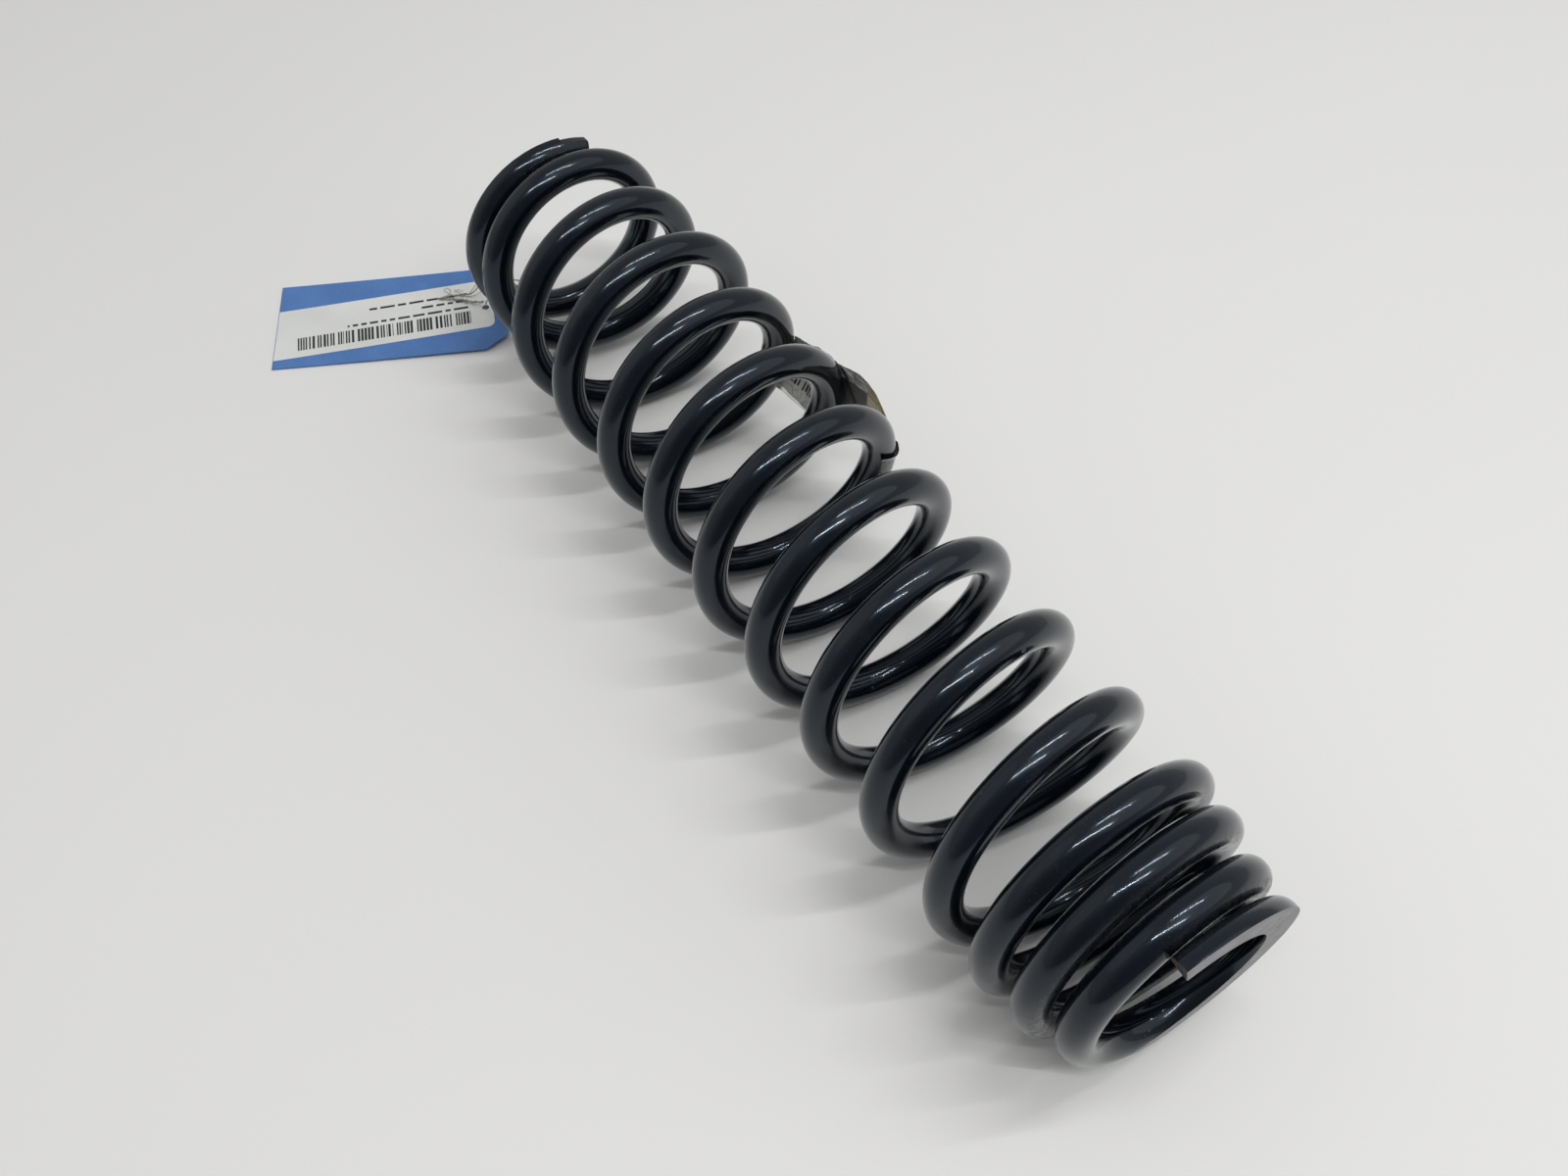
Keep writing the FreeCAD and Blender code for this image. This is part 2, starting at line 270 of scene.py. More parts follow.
# ------------------------------------------------------------------ mesh helpers
def make_mesh(name, verts, faces, smooth_angle=None, attributes=(), face_mats=None, mats=()):
    me = bpy.data.meshes.new(name)
    me.from_pydata([tuple(v) for v in (np.asarray(verts) * MM)], [], [tuple(f) for f in faces])
    me.update()
    for key, kind, data in attributes:
        at = me.attributes.new(key, kind, "POINT")
        at.data.foreach_set("vector" if kind == "FLOAT_VECTOR" else "value",
                            np.asarray(data, np.float32).ravel())
    ob = bpy.data.objects.new(name, me)
    bpy.context.scene.collection.objects.link(ob)
    for m in mats:
        me.materials.append(m)
    if face_mats is not None:
        me.polygons.foreach_set("material_index", np.asarray(face_mats, np.int32))
    if smooth_angle is not None:
        me.shade_smooth()
        me.set_sharp_from_angle(angle=math.radians(smooth_angle))
    me.validate()
    return ob


def grid_faces(nu, nv, base=0, close_v=False, flip=False):
    out = []
    for i in range(nu - 1):
        for j in range(nv if close_v else nv - 1):
            k = (j + 1) % nv
            q = (base + i * nv + j, base + (i + 1) * nv + j, base + (i + 1) * nv + k, base + i * nv + k)
            out.append(q[::-1] if flip else q)
    return out


def closed_sheet(top, bottom):
    """A thin closed shell from two grids (nu, nv, 3)."""
    nu, nv = top.shape[:2]
    v = np.concatenate([top.reshape(-1, 3), bottom.reshape(-1, 3)])
    n = nu * nv
    f = grid_faces(nu, nv) + grid_faces(nu, nv, n, flip=True)
    rim = ([i * nv for i in range(nu)] + [(nu - 1) * nv + j for j in range(1, nv)]
           + [i * nv + nv - 1 for i in range(nu - 2, -1, -1)] + [j for j in range(nv - 2, 0, -1)])
    for a, b in zip(rim, rim[1:] + rim[:1]):
        f.append((b, a, a + n, b + n))
    return v, f


def grid_normals(p):
    du = np.gradient(p, axis=0)
    dv = np.gradient(p, axis=1)
    return unit(np.cross(du, dv) + 1e-12)


def tube(points, radius, sides=10, taper=0.0):
    """A closed tube along points."""
    p = np.asarray(points, float)
    t = unit(np.gradient(p, axis=0))
    n = np.cross(t[0], (0.3, 0.2, 0.9))
    n /= np.linalg.norm(n)
    rings = []
    for i in range(len(p)):
        n = n - t[i] * n.dot(t[i])
        n /= np.linalg.norm(n)
        b = np.cross(t[i], n)
        r = radius * (1 - taper * smooth((i / (len(p) - 1) - 0.7) / 0.3))
        rings.append([p[i] + r * (math.cos(a) * n + math.sin(a) * b)
                      for a in np.arange(sides) * PI2 / sides])
    v = np.array(rings).reshape(-1, 3)
    f = grid_faces(len(p), sides, close_v=True)
    f = [q[::-1] for q in f]
    k = len(v)
    v = np.concatenate([v, [p[0]], [p[-1]]])
    last = (len(p) - 1) * sides
    for j in range(sides):
        m = (j + 1) % sides
        f.append((k, m, j))
        f.append((k + 1, last + j, last + m))
    return v, f


def join(parts):
    vs, fs, base = [], [], 0
    for v, f in parts:
        vs.append(np.asarray(v, float))
        fs += [tuple(i + base for i in q) for q in f]
        base += len(v)
    return np.concatenate(vs), fs


def fix_normals(ob):
    import bmesh
    bm = bmesh.new()
    bm.from_mesh(ob.data)
    bmesh.ops.recalc_face_normals(bm, faces=bm.faces[:])
    bm.to_mesh(ob.data)
    bm.free()


# ------------------------------------------------------------------ material helpers
class Mat:
    def __init__(self, name):
        self.m = bpy.data.materials.new(name)
        self.m.use_nodes = True
        self.nt = self.m.node_tree
        self.nt.nodes.clear()
        self.out = self.nt.nodes.new("ShaderNodeOutputMaterial")
        self.p = self.nt.nodes.new("ShaderNodeBsdfPrincipled")
        self.link(self.p.outputs[0], self.out.inputs["Surface"])

    def link(self, a, b):
        self.nt.links.new(a, b)
        return a

    def put(self, node, key, value):
        s = node.inputs[key]
        if isinstance(value, bpy.types.NodeSocket):
            self.link(value, s)
        elif value is not None:
            if s.type == "RGBA" and not hasattr(value, "__len__"):
                value = (value, value, value, 1)
            elif s.type == "RGBA" and len(value) == 3:
                value = (*value, 1)
            s.default_value = value

    def set(self, **kw):
        for k, v in kw.items():
            self.put(self.p, k.replace("_", " "), v)
        return self

    def attr(self, name, out="Vector"):
        n = self.nt.nodes.new("ShaderNodeAttribute")
        n.attribute_name = name
        return n.outputs[out]

    def obj(self):
        return self.nt.nodes.new("ShaderNodeTexCoord").outputs["Object"]

    def mapping(self, vec, scale=(1, 1, 1), rot=(0, 0, 0), loc=(0, 0, 0)):
        n = self.nt.nodes.new("ShaderNodeMapping")
        self.put(n, "Vector", vec)
        self.put(n, "Scale", scale)
        self.put(n, "Rotation", rot)
        self.put(n, "Location", loc)
        return n.outputs[0]

    def noise(self, vec, scale, detail=2.0, rough=0.5, dist=0.0, out="Fac"):
        n = self.nt.nodes.new("ShaderNodeTexNoise")
        self.put(n, "Vector", vec)
        self.put(n, "Scale", scale)
        self.put(n, "Detail", detail)
        self.put(n, "Roughness", rough)
        self.put(n, "Distortion", dist)
        return n.outputs[out]

    def voronoi(self, vec, scale, feature="F1", out="Distance"):
        n = self.nt.nodes.new("ShaderNodeTexVoronoi")
        n.feature = feature
        self.put(n, "Vector", vec)
        self.put(n, "Scale", scale)
        return n.outputs[out]

    def ramp(self, fac, lo, hi, a=0.0, b=1.0):
        n = self.nt.nodes.new("ShaderNodeMapRange")
        n.interpolation_type = "SMOOTHSTEP"
        self.put(n, "Value", fac)
        self.put(n, "From Min", lo)
        self.put(n, "From Max", hi)
        self.put(n, "To Min", a)
        self.put(n, "To Max", b)
        return n.outputs[0]

    def math(self, op, a, b=None):
        n = self.nt.nodes.new("ShaderNodeMath")
        n.operation = op
        self.put(n, 0, a)
        if b is not None:
            self.put(n, 1, b)
        return n.outputs[0]

    def mix(self, fac, a, b):
        n = self.nt.nodes.new("ShaderNodeMix")
        n.data_type = "RGBA"
        self.put(n, 0, fac)
        self.put(n, 6, a)
        self.put(n, 7, b)
        return n.outputs[2]

    def mixf(self, fac, a, b):
        n = self.nt.nodes.new("ShaderNodeMix")
        self.put(n, 0, fac)
        self.put(n, 2, a)
        self.put(n, 3, b)
        return n.outputs[0]

    def sep(self, vec):
        n = self.nt.nodes.new("ShaderNodeSeparateXYZ")
        self.put(n, 0, vec)
        return n.outputs

    def bump(self, height, strength, distance, normal=None):
        n = self.nt.nodes.new("ShaderNodeBump")
        self.put(n, "Height", height)
        self.put(n, "Strength", strength)
        self.put(n, "Distance", distance)
        if normal is not None:
            self.put(n, "Normal", normal)
        return n.outputs[0]


# ------------------------------------------------------------------ materials
def coating():
    m = Mat("coated_steel_gloss")
    v = m.attr("rest_co")
    fine = m.noise(v, 900, 2.0, 0.5)
    wave = m.noise(v, 260, 1.5, 0.5)
    broad = m.noise(v, 34, 3.0, 0.55)
    cloud = m.noise(v, 120, 4.0, 0.6)
    base = m.mix(m.ramp(broad, 0.35, 0.68), (0.0016, 0.0026, 0.0050), (0.0030, 0.0044, 0.0082))
    # thin film of dust that lies on the upper side
    geo = m.nt.nodes.new("ShaderNodeNewGeometry")
    up = m.ramp(m.sep(geo.outputs["Normal"])[2], 0.0, 1.0)
    dusty = m.math("MULTIPLY", m.ramp(cloud, 0.48, 0.80), m.math("MULTIPLY", up, 0.10))
    base = m.mix(dusty, base, (0.040, 0.042, 0.042))
    # specks of grit and pale nicks
    speck = m.ramp(m.noise(v, 2600, 1.0, 0.5), 0.735, 0.78)
    speck = m.math("MULTIPLY", speck, m.ramp(m.noise(v, 70, 2.0, 0.5), 0.45, 0.62))
    base = m.mix(m.math("MULTIPLY", speck, 0.55), base, (0.16, 0.16, 0.15))
    scratch = m.mapping(v, scale=(1.0, 0.22, 0.35), rot=(0.5, 0.2, 0.9))
    nick = m.ramp(m.noise(scratch, 620, 2.0, 0.5), 0.74, 0.77)
    nick = m.math("MULTIPLY", nick, m.ramp(m.noise(v, 45, 1.0, 0.5), 0.55, 0.66))
    base = m.mix(m.math("MULTIPLY", nick, 0.6), base, (0.13, 0.12, 0.11))
    # dried dirt between the close coils, with bare rubbed lines in it
    dirt = m.attr("dirt", "Fac")
    grime = m.noise(v, 420, 4.0, 0.65)
    dm = m.math("MULTIPLY", m.math("MULTIPLY", m.ramp(dirt, 0.30, 0.95), 0.40), m.ramp(grime, 0.25, 0.70))
    base = m.mix(m.math("MULTIPLY", dm, 0.85), base, m.mix(m.noise(v, 900, 3.0), (0.012, 0.013, 0.012), (0.034, 0.034, 0.028)))
    rough = m.mixf(m.ramp(cloud, 0.3, 0.75), 0.13, 0.23)
    rough = m.mixf(dm, rough, 0.85)
    coat = m.mixf(m.math("MAXIMUM", dm, m.math("MULTIPLY", dusty, 0.9)), 0.42, 0.03)
    coat_rough = m.mixf(m.ramp(broad, 0.3, 0.7), 0.03, 0.07)
    peel = m.bump(fine, 0.18, 0.00004)
    peel = m.bump(wave, 0.16, 0.00016, peel)
    peel = m.bump(m.math("MULTIPLY", nick, -1.0), 0.5, 0.0002, peel)
    peel = m.bump(m.math("MULTIPLY", dm, grime), 0.12, 0.0002, peel)
    m.set(Base_Color=base, Roughness=rough, Coat_Weight=coat, Coat_Roughness=coat_rough,
          Coat_IOR=1.5, Specular_IOR_Level=0.32, Specular_Tint=(0.58, 0.79, 1.0), Normal=peel)
    m.put(m.p, "Coat Normal", peel)
    return m.m


def ground_face():
    """The flat that is ground on the end: dull grey, with grinding marks round the axis."""
    m = Mat("ground_flat")
    v = m.attr("rest_co")
    n1 = m.noise(m.mapping(v, scale=(1, 1, 1)), 1400, 3.0, 0.6)
    n2 = m.noise(v, 160, 4.0, 0.6)
    sc = m.noise(m.mapping(v, scale=(1, 0.12, 1), rot=(0.6, 0, 0)), 1500, 2.0, 0.6)
    base = m.mix(m.ramp(n2, 0.3, 0.7), (0.24, 0.24, 0.25), (0.35, 0.345, 0.35))
    base = m.mix(m.math("MULTIPLY", m.ramp(sc, 0.55, 0.8), 0.4), base, (0.14, 0.14, 0.14))
    spot = m.math("MULTIPLY", m.ramp(m.noise(v, 330, 2.0), 0.64, 0.72), 0.6)
    base = m.mix(spot, base, (0.055, 0.05, 0.045))
    m.set(Base_Color=base, Roughness=m.mixf(n1, 0.42, 0.62), Metallic=0.25,
          Normal=m.bump(sc, 0.25, 0.0001, m.bump(n1, 0.15, 0.00005)))
    return m.m


def sawn_tip():
    m = Mat("sawn_tip")
    v = m.attr("rest_co")
    n = m.noise(v, 500, 4.0, 0.65)
    base = m.mix(m.ramp(n, 0.35, 0.7), (0.012, 0.012, 0.013), (0.075, 0.068, 0.060))
    m.set(Base_Color=base, Roughness=0.62, Coat_Weight=0.25, Coat_Roughness=0.3,
          Normal=m.bump(n, 0.8, 0.0006))
    return m.m


def film():
    m = Mat("wrinkled_film")
    v = m.attr("rest_co")
    n = m.noise(v, 240, 3.0, 0.6, 0.6)
    crease = m.math("SUBTRACT", 1.0, m.ramp(m.math("ABSOLUTE", m.math("SUBTRACT", m.noise(m.mapping(v, scale=(0.5, 1, 1)), 170, 2.0, 0.6, 1.0), 0.5)), 0.0, 0.045))
    dust = m.noise(v, 800, 4.0, 0.65)
    base = m.mix(m.ramp(n, 0.3, 0.7), (0.050, 0.054, 0.054), (0.098, 0.104, 0.100))
    base = m.mix(m.math("MULTIPLY", m.ramp(dust, 0.5, 0.72), 0.5), base, (0.19, 0.19, 0.18))
    # painted shade: the film is painted near black along its creases
    base = m.mix(m.math("MULTIPLY", crease, 0.7), base, (0.018, 0.018, 0.02))
    age = m.attr("age", "Fac")
    base = m.mix(age, base, (0.82, 0.72, 0.50))
    # painted shade: the 'dark' mask paints shade under the film's lifted lip on the first bar; it also darkens the
    # fold line and the stretch over the middle bar
    dark = m.attr("dark", "Fac")
    base = m.mix(m.math("MULTIPLY", dark, 0.92), base, (0.010, 0.011, 0.014))
    alpha = m.mixf(m.ramp(n, 0.3, 0.7), 0.50, 0.74)
    alpha = m.mixf(m.math("MAXIMUM", m.math("MULTIPLY", crease, 0.9), m.math("MAXIMUM", age, dark)), alpha, 0.97)
    clear = m.attr("clear", "Fac")
    alpha = m.mixf(clear, alpha, 0.20)
    b = m.bump(n, 0.55, 0.0009)
    b = m.bump(crease, 0.6, 0.0005, b)
    m.set(Base_Color=base, Roughness=0.24, Alpha=alpha, Coat_Weight=0.6, Coat_Roughness=0.08,
          Specular_IOR_Level=0.5, Normal=b)
    return m.m


def paper():
    m = Mat("creased_label_paper")
    v = m.attr("rest_co")
    fib = m.noise(v, 1800, 3.0, 0.6)
    stain = m.noise(v, 60, 4.0, 0.6)
    crease = m.math("SUBTRACT", 1.0, m.ramp(m.math("ABSOLUTE", m.math("SUBTRACT", m.noise(v, 130, 2.0, 0.6, 0.8), 0.5)), 0.0, 0.03))
    base = m.mix(m.ramp(stain, 0.3, 0.75), (0.60, 0.60, 0.575), (0.44, 0.43, 0.40))
    # painted shade: the paper is painted darker along its creases
    base = m.mix(m.math("MULTIPLY", crease, 0.5), base, (0.18, 0.18, 0.18))
    # painted shade: between the first and second bars the paper, which lies in shadow behind the film, is painted a
    # dim grey
    shade_grey = m.mix(m.ramp(m.noise(v, 90, 3.0, 0.6), 0.3, 0.7), (0.115, 0.122, 0.114), (0.190, 0.196, 0.184))
    base = m.mix(m.attr("dim", "Fac"), base, shade_grey)
    base = m.mix(m.attr("age", "Fac"), base, (0.86, 0.76, 0.52))
    base = m.mix(m.math("MULTIPLY", m.attr("dark", "Fac"), 0.93), base, (0.010, 0.011, 0.014))
    m.set(Base_Color=base, Roughness=0.72,
          Normal=m.bump(crease, 0.5, 0.0004, m.bump(fib, 0.25, 0.00006)))
    return m.m


def ink(name="print_ink", c=(0.010, 0.011, 0.013)):
    m = Mat(name)
    v = m.obj()
    n = m.noise(v, 3000, 2.0, 0.6)
    m.set(Base_Color=m.mix(m.ramp(n, 0.35, 0.75), c, tuple(min(1, x * 2.2 + 0.008) for x in c)),
          Roughness=0.55, Normal=m.bump(n, 0.1, 0.00003))
    return m.m


def card():
    m = Mat("blue_tag_card")
    v = m.obj()
    fib = m.noise(m.mapping(v, scale=(1, 0.45, 1), rot=(0, 0, 1.1)), 2200, 3.0, 0.6)
    soft = m.noise(v, 70, 3.0, 0.6)
    base = m.mix(m.ramp(soft, 0.3, 0.75), (0.066, 0.178, 0.460), (0.084, 0.210, 0.510))
    base = m.mix(m.math("MULTIPLY", m.ramp(fib, 0.55, 0.8), 0.25), base, (0.25, 0.42, 0.72))
    m.set(Base_Color=base, Roughness=0.62, Sheen_Weight=0.08,
          Normal=m.bump(fib, 0.18, 0.00005, m.bump(soft, 0.1, 0.0003)))
    return m.m


def sticker():
    m = Mat("white_sticker_paper")
    v = m.obj()
    fib = m.noise(v, 2500, 3.0, 0.6)
    soft = m.noise(v, 40, 3.0, 0.55)
    base = m.mix(m.ramp(soft, 0.3, 0.75), (0.76, 0.77, 0.755), (0.69, 0.70, 0.68))
    m.set(Base_Color=base, Roughness=0.5, Normal=m.bump(fib, 0.08, 0.00004))
    return m.m


def wire():
    m = Mat("tie_wire_dull")
    v = m.obj()
    n = m.noise(v, 1500, 3.0, 0.6)
    m.set(Base_Color=m.mix(m.ramp(n, 0.3, 0.7), (0.20, 0.21, 0.165), (0.42, 0.42, 0.35)),
          Metallic=0.35, Roughness=0.5, Normal=m.bump(n, 0.3, 0.0001))
    return m.m


M_COAT, M_GROUND, M_TIP = coating(), ground_face(), sawn_tip()
M_FILM, M_PAPER, M_INK, M_CARD, M_STICKER, M_WIRE = film(), paper(), ink(), card(), sticker(), wire()


# ------------------------------------------------------------------ the bar
def bar_frame(t):
    t = np.asarray(t, float)
    a = PI2 * (t - PHASE)
    x, r, dx, dr = x_at(t), r_at(t), x_slope(t), r_slope(t)
    c = polar(x, r, t - PHASE)
    tan = unit(np.stack([dx, -dr * np.sin(a) - r * PI2 * np.cos(a), dr * np.cos(a) - r * PI2 * np.sin(a)], -1))
    b = np.zeros_like(tan)
    b[..., 0] = 1
    b = unit(b - tan * tan[..., :1])
    nrm = np.cross(b, tan)
    rad = np.stack([np.zeros_like(a), -np.sin(a), np.cos(a)], -1)
    nrm = nrm * np.sign((nrm * rad).sum(-1, keepdims=True))
    return c, tan, b, nrm


def section(t):
    """The 32 points of the bar's outline at turn t, and which of them lie on a ground flat."""
    c, tan, b, nrm = bar_frame(t)
    bx = b[0]
    out, ang, flat = [], [], []

    def half(dist, fade):
        beta = math.acos(max(-1.0, min(1.0, dist))) if dist < 1 else 0.0
        eff = max(beta, math.radians(3 + 42 * float(smooth(fade))))
        return beta, eff

    dn, df = (c[0] + MID) / (WIRE_R * bx), (MID - c[0]) / (WIRE_R * bx)
    bn, en = half(dn, (t - 0.60) / 0.30)
    bf, ef = half(df, (13.40 - t) / 0.30)

    def point(theta):
        return c + WIRE_R * (math.cos(theta) * nrm + math.sin(theta) * b)

    # -X sector, arc, +X sector, arc
    for k in range(9):
        s = -1 + k / 4.0
        if bn >= en - 1e-9:
            p = c + nrm * (WIRE_R * math.sin(bn) * s) - b * (WIRE_R * dn)
            p[0] = -MID
            flat.append(1)
        else:
            p = point(-math.pi / 2 + en * s)
            p[0] = max(p[0], -MID)
            flat.append(1 if p[0] <= -MID + 1e-6 else 0)
        out.append(p)
        ang.append(-math.pi / 2 + en * s)
    lo, hi = -math.pi / 2 + en, math.pi / 2 - ef
    for k in range(1, 8):
        th = lo + (hi - lo) * k / 8
        out.append(point(th))
        ang.append(th)
        flat.append(0)
    for k in range(9):
        s = -1 + k / 4.0
        if bf >= ef - 1e-9:
            p = c - nrm * (WIRE_R * math.sin(bf) * s) + b * (WIRE_R * df)
            p[0] = MID
            flat.append(2)
        else:
            p = point(math.pi / 2 + ef * s)
            p[0] = min(p[0], MID)
            flat.append(2 if p[0] >= MID - 1e-6 else 0)
        out.append(p)
        ang.append(math.pi / 2 + ef * s)
    lo, hi = math.pi / 2 + ef, 1.5 * math.pi - en
    for k in range(1, 8):
        th = lo + (hi - lo) * k / 8
        out.append(point(th))
        ang.append(th)
        flat.append(0)
    p = np.array(out)
    p[:, 0] = np.clip(p[:, 0], -MID, MID)
    p[:, 2] = np.maximum(p[:, 2], 0.0)
    return p, np.array(ang), np.array(flat)


def ledge(p):
    """The far tip's step: nothing stands further from the axis than this."""
    lim = float(r_at(T_LAST)) + WIRE_R - LEDGE
    d = p[:, 1:] - (AXIS_Y, AXIS_Z)
    rho = np.linalg.norm(d, axis=1)
    k = np.minimum(1.0, lim / rho)
    q = p.copy()
    q[:, 1:] = (AXIS_Y, AXIS_Z) + d * k[:, None]
    return q


EDGE = 0.0013
t_step = T_LAST - LEDGE_TURN
ts = sorted(set([EDGE, T_LAST - EDGE, t_step - 0.0004, t_step + 0.0004]
                + [float(x) for x in np.linspace(0.006, T_LAST - 0.006, 1350)]))
ts = [t for t in ts if not (t_step - 0.0004 < t < t_step + 0.0004)]
rings, angles, flats = [], [], []
for t in ts:
    p, a, fl = section(t)
    if t > t_step:
        p = ledge(p)
    rings.append(p)
    angles.append(a)
    flats.append(fl)
NR = 32
verts = list(np.concatenate(rings))
vt = [t for t in ts for _ in range(NR)]
va = list(np.concatenate(angles))
faces = grid_faces(len(ts), NR, close_v=True)
fl = np.concatenate(flats)
fmat = []
for q in faces:
    s = fl[list(q)]
    fmat.append(1 if (np.all(s == 1) or np.all(s == 2)) else 0)


def cap(t_end, ring_base, ring, way):
    """A cut end: a narrow rounded edge, then a slightly uneven face."""
    global verts, vt, va, faces, fmat
    _, tan, _, _ = bar_frame(t_end)
    mid = ring.mean(0)
    push = tan * way
    prev = [ring_base + j for j in range(NR)]
    r0 = float(r_at(t_end)) * PI2
    out = EDGE * r0
    for k, (scale, adv) in enumerate(((0.985, 0.55), (0.955, 0.92), (0.90, 1.0), (0.70, 1.0), (0.48, 1.0), (0.25, 1.0))):
        base = len(verts)
        cur = []
        for j in range(NR):
            p = mid + (ring[j] - mid) * scale + push * out * adv
            if k >= 3:
                p = p - push * (0.16 * (0.5 + 0.5 * noise.noise(Vector(p * 0.55))) * (k - 2))
            p[0] = min(max(p[0], -MID), MID)
            verts.append(p)
            vt.append(t_end)
            va.append(va[ring_base + j])
            cur.append(base + j)
        for j in range(NR):
            m = (j + 1) % NR
            q = (prev[j], cur[j], cur[m], prev[m])
            faces.append(q if way > 0 else q[::-1])
            fmat.append(2)
        prev = cur
    c = len(verts)
    verts.append(mid + push * (out - 0.3))
    vt.append(t_end)
    va.append(0.0)
    for j in range(NR):
        m = (j + 1) % NR
        q = (prev[j], c, prev[m])
        faces.append(q if way > 0 else q[::-1])
        fmat.append(2)


cap(0.0, 0, rings[0], -1)
cap(T_LAST, (len(ts) - 1) * NR, rings[-1], 1)
verts = np.array(verts)
vt, va = np.array(vt), np.array(va)
gap_next = np.where(vt + 1 < T_LAST, x_at(np.minimum(vt + 1, T_LAST)) - x_at(vt), 99) - 2 * WIRE_R
gap_prev = np.where(vt > 1, x_at(vt) - x_at(np.maximum(vt - 1, 0)), 99) - 2 * WIRE_R
side = np.sin(va)
dirt = np.maximum(smooth(1.25 - gap_next / 4.2) * smooth((side - 0.35) / 0.55),
                  smooth(1.25 - gap_prev / 4.2) * smooth((-side - 0.35) / 0.55))
dirt = dirt * np.where(vt < 6, 1.0, 0.7)
spring = make_mesh("spring_coils", verts, faces, None,
                   [("rest_co", "FLOAT_VECTOR", verts * MM), ("dirt", "FLOAT", dirt)],
                   fmat, (M_COAT, M_GROUND, M_TIP))
fix_normals(spring)
spring.data.shade_smooth()
spring.data.set_sharp_from_angle(angle=math.radians(32))


def bend(ob, weights):
    """Lets ob take on its share of the far end's travel, point by point."""
    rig.blend(ob, "near_end", "far_end", start=(-0.13, 0, 0.044), end=(0.17, 0, 0.044))
    ob.data.attributes["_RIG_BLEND"].data.foreach_set("value", np.asarray(weights, np.float32))


bend(spring, follow(vt))
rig.replaces(spring, "near_end_coils", "active_coils", "far_end_coils")
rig.slot(spring, "coated_steel")


# ------------------------------------------------------------------ label over three coils
TURNS = (8, 9, 10)


def curve_of(points):
    xs, ys = zip(*points)
    return lambda w: float(np.interp(w, xs, ys))


def bars_at(psi):
    t = np.array([psi + PHASE + n for n in TURNS])
    return x_at(t), r_at(t), t


def label_spot(w, psi, lift, bulge_near, bulge_far, hook_c=118.0, hook_a=112.0):
    """Place on the label. w -1..0 goes round the first bar, 0..1 to the second, 1..2 to the third,
    2..3 round it. Returns the point and its share of the far end's travel."""
    x, r, t = bars_at(psi)
    d = WIRE_R + lift
    f = follow(t)
    if w < 0:
        a = math.radians(90 + hook_c * -w)
        return polar(x[0] + d * math.cos(a), r[0] + d * math.sin(a), psi), f[0]
    if w > 2:
        a = math.radians(90 - hook_a * (w - 2))
        return polar(x[2] + d * math.cos(a), r[2] + d * math.sin(a), psi), f[2]
    i = 0 if w < 1 else 1
    u = w - i
    xx = x[i] * (1 - u) + x[i + 1] * u
    rr = r[i] * (1 - u) + r[i + 1] * u + d
    h = (bulge_near if i == 0 else bulge_far) * math.sin(math.pi * u) ** 1.5
    # over a bar the sheet follows its round side before it leaves it
    near = min(abs(xx - x[i]), abs(xx - x[i + 1]))
    sag = 0.0
    if near < 3.0:
        sag = 0.22 * math.sin(math.pi * near / 3.0) ** 2
    return polar(xx, rr + h - sag, psi), f[i] * (1 - u) + f[i + 1] * u


film_top = curve_of([(-1, .218), (-.75, .227), (-.5, .236), (-.25, .238), (0.0, .235), (.07, .226),
                     (.12, .208), (.20, .190), (.35, .179), (.5, .176), (.8, .175), (1.0, .181),
                     (1.3, .205), (1.6, .228), (1.85, .248), (2.0, .252), (2.5, .250), (3, .258)])
film_low = curve_of([(-1, .345), (-.5, .342), (0, .335), (.15, .305), (.3, .288), (.8, .288), (.95, .325), (1.5, .334),
                     (2, .341), (2.5, .345), (3, .349)])
w_cols = np.concatenate([np.linspace(-1, 0, 22)[:-1], np.linspace(0, 1, 62)[:-1],
                         np.linspace(1, 2, 58)[:-1], np.linspace(2, 3, 20)])
rows = 66


def ridged(p, scale, seed):
    q = Vector((p[0] * scale + seed, p[1] * scale, p[2] * scale - seed))
    return 1 - 2 * abs(noise.noise(q))


def wrinkle(p, over_bar):
    """Uneven lie of the film, mm along its normal."""
    big = noise.noise(Vector(p) * 0.055) * 0.9
    mid = ridged(p, 0.10, 3.1) * 0.42
    fine = ridged(p, 0.26, 8.7) * 0.16
    if over_bar:
        return 0.10 + 0.13 * abs(big) + 0.10 * max(0.0, mid) + 0.05 * fine
    return 0.32 * big + 0.55 * mid + 0.7 * fine


FOLD = (((0.93, .194), (0.87, .226)), ((0.87, .226), (0.75, .248)))


def fold_gap(w, psi, a, b):
    """Distance in mm on the flat label from the line a-b."""
    p, a, b = ((x * 32.0, y * 276.0) for x, y in ((w, psi), a, b))
    dx, dy = b[0] - a[0], b[1] - a[1]
    u = max(0.0, min(1.0, ((p[0] - a[0]) * dx + (p[1] - a[1]) * dy) / (dx * dx + dy * dy)))
    return math.hypot(p[0] - a[0] - u * dx, p[1] - a[1] - u * dy)


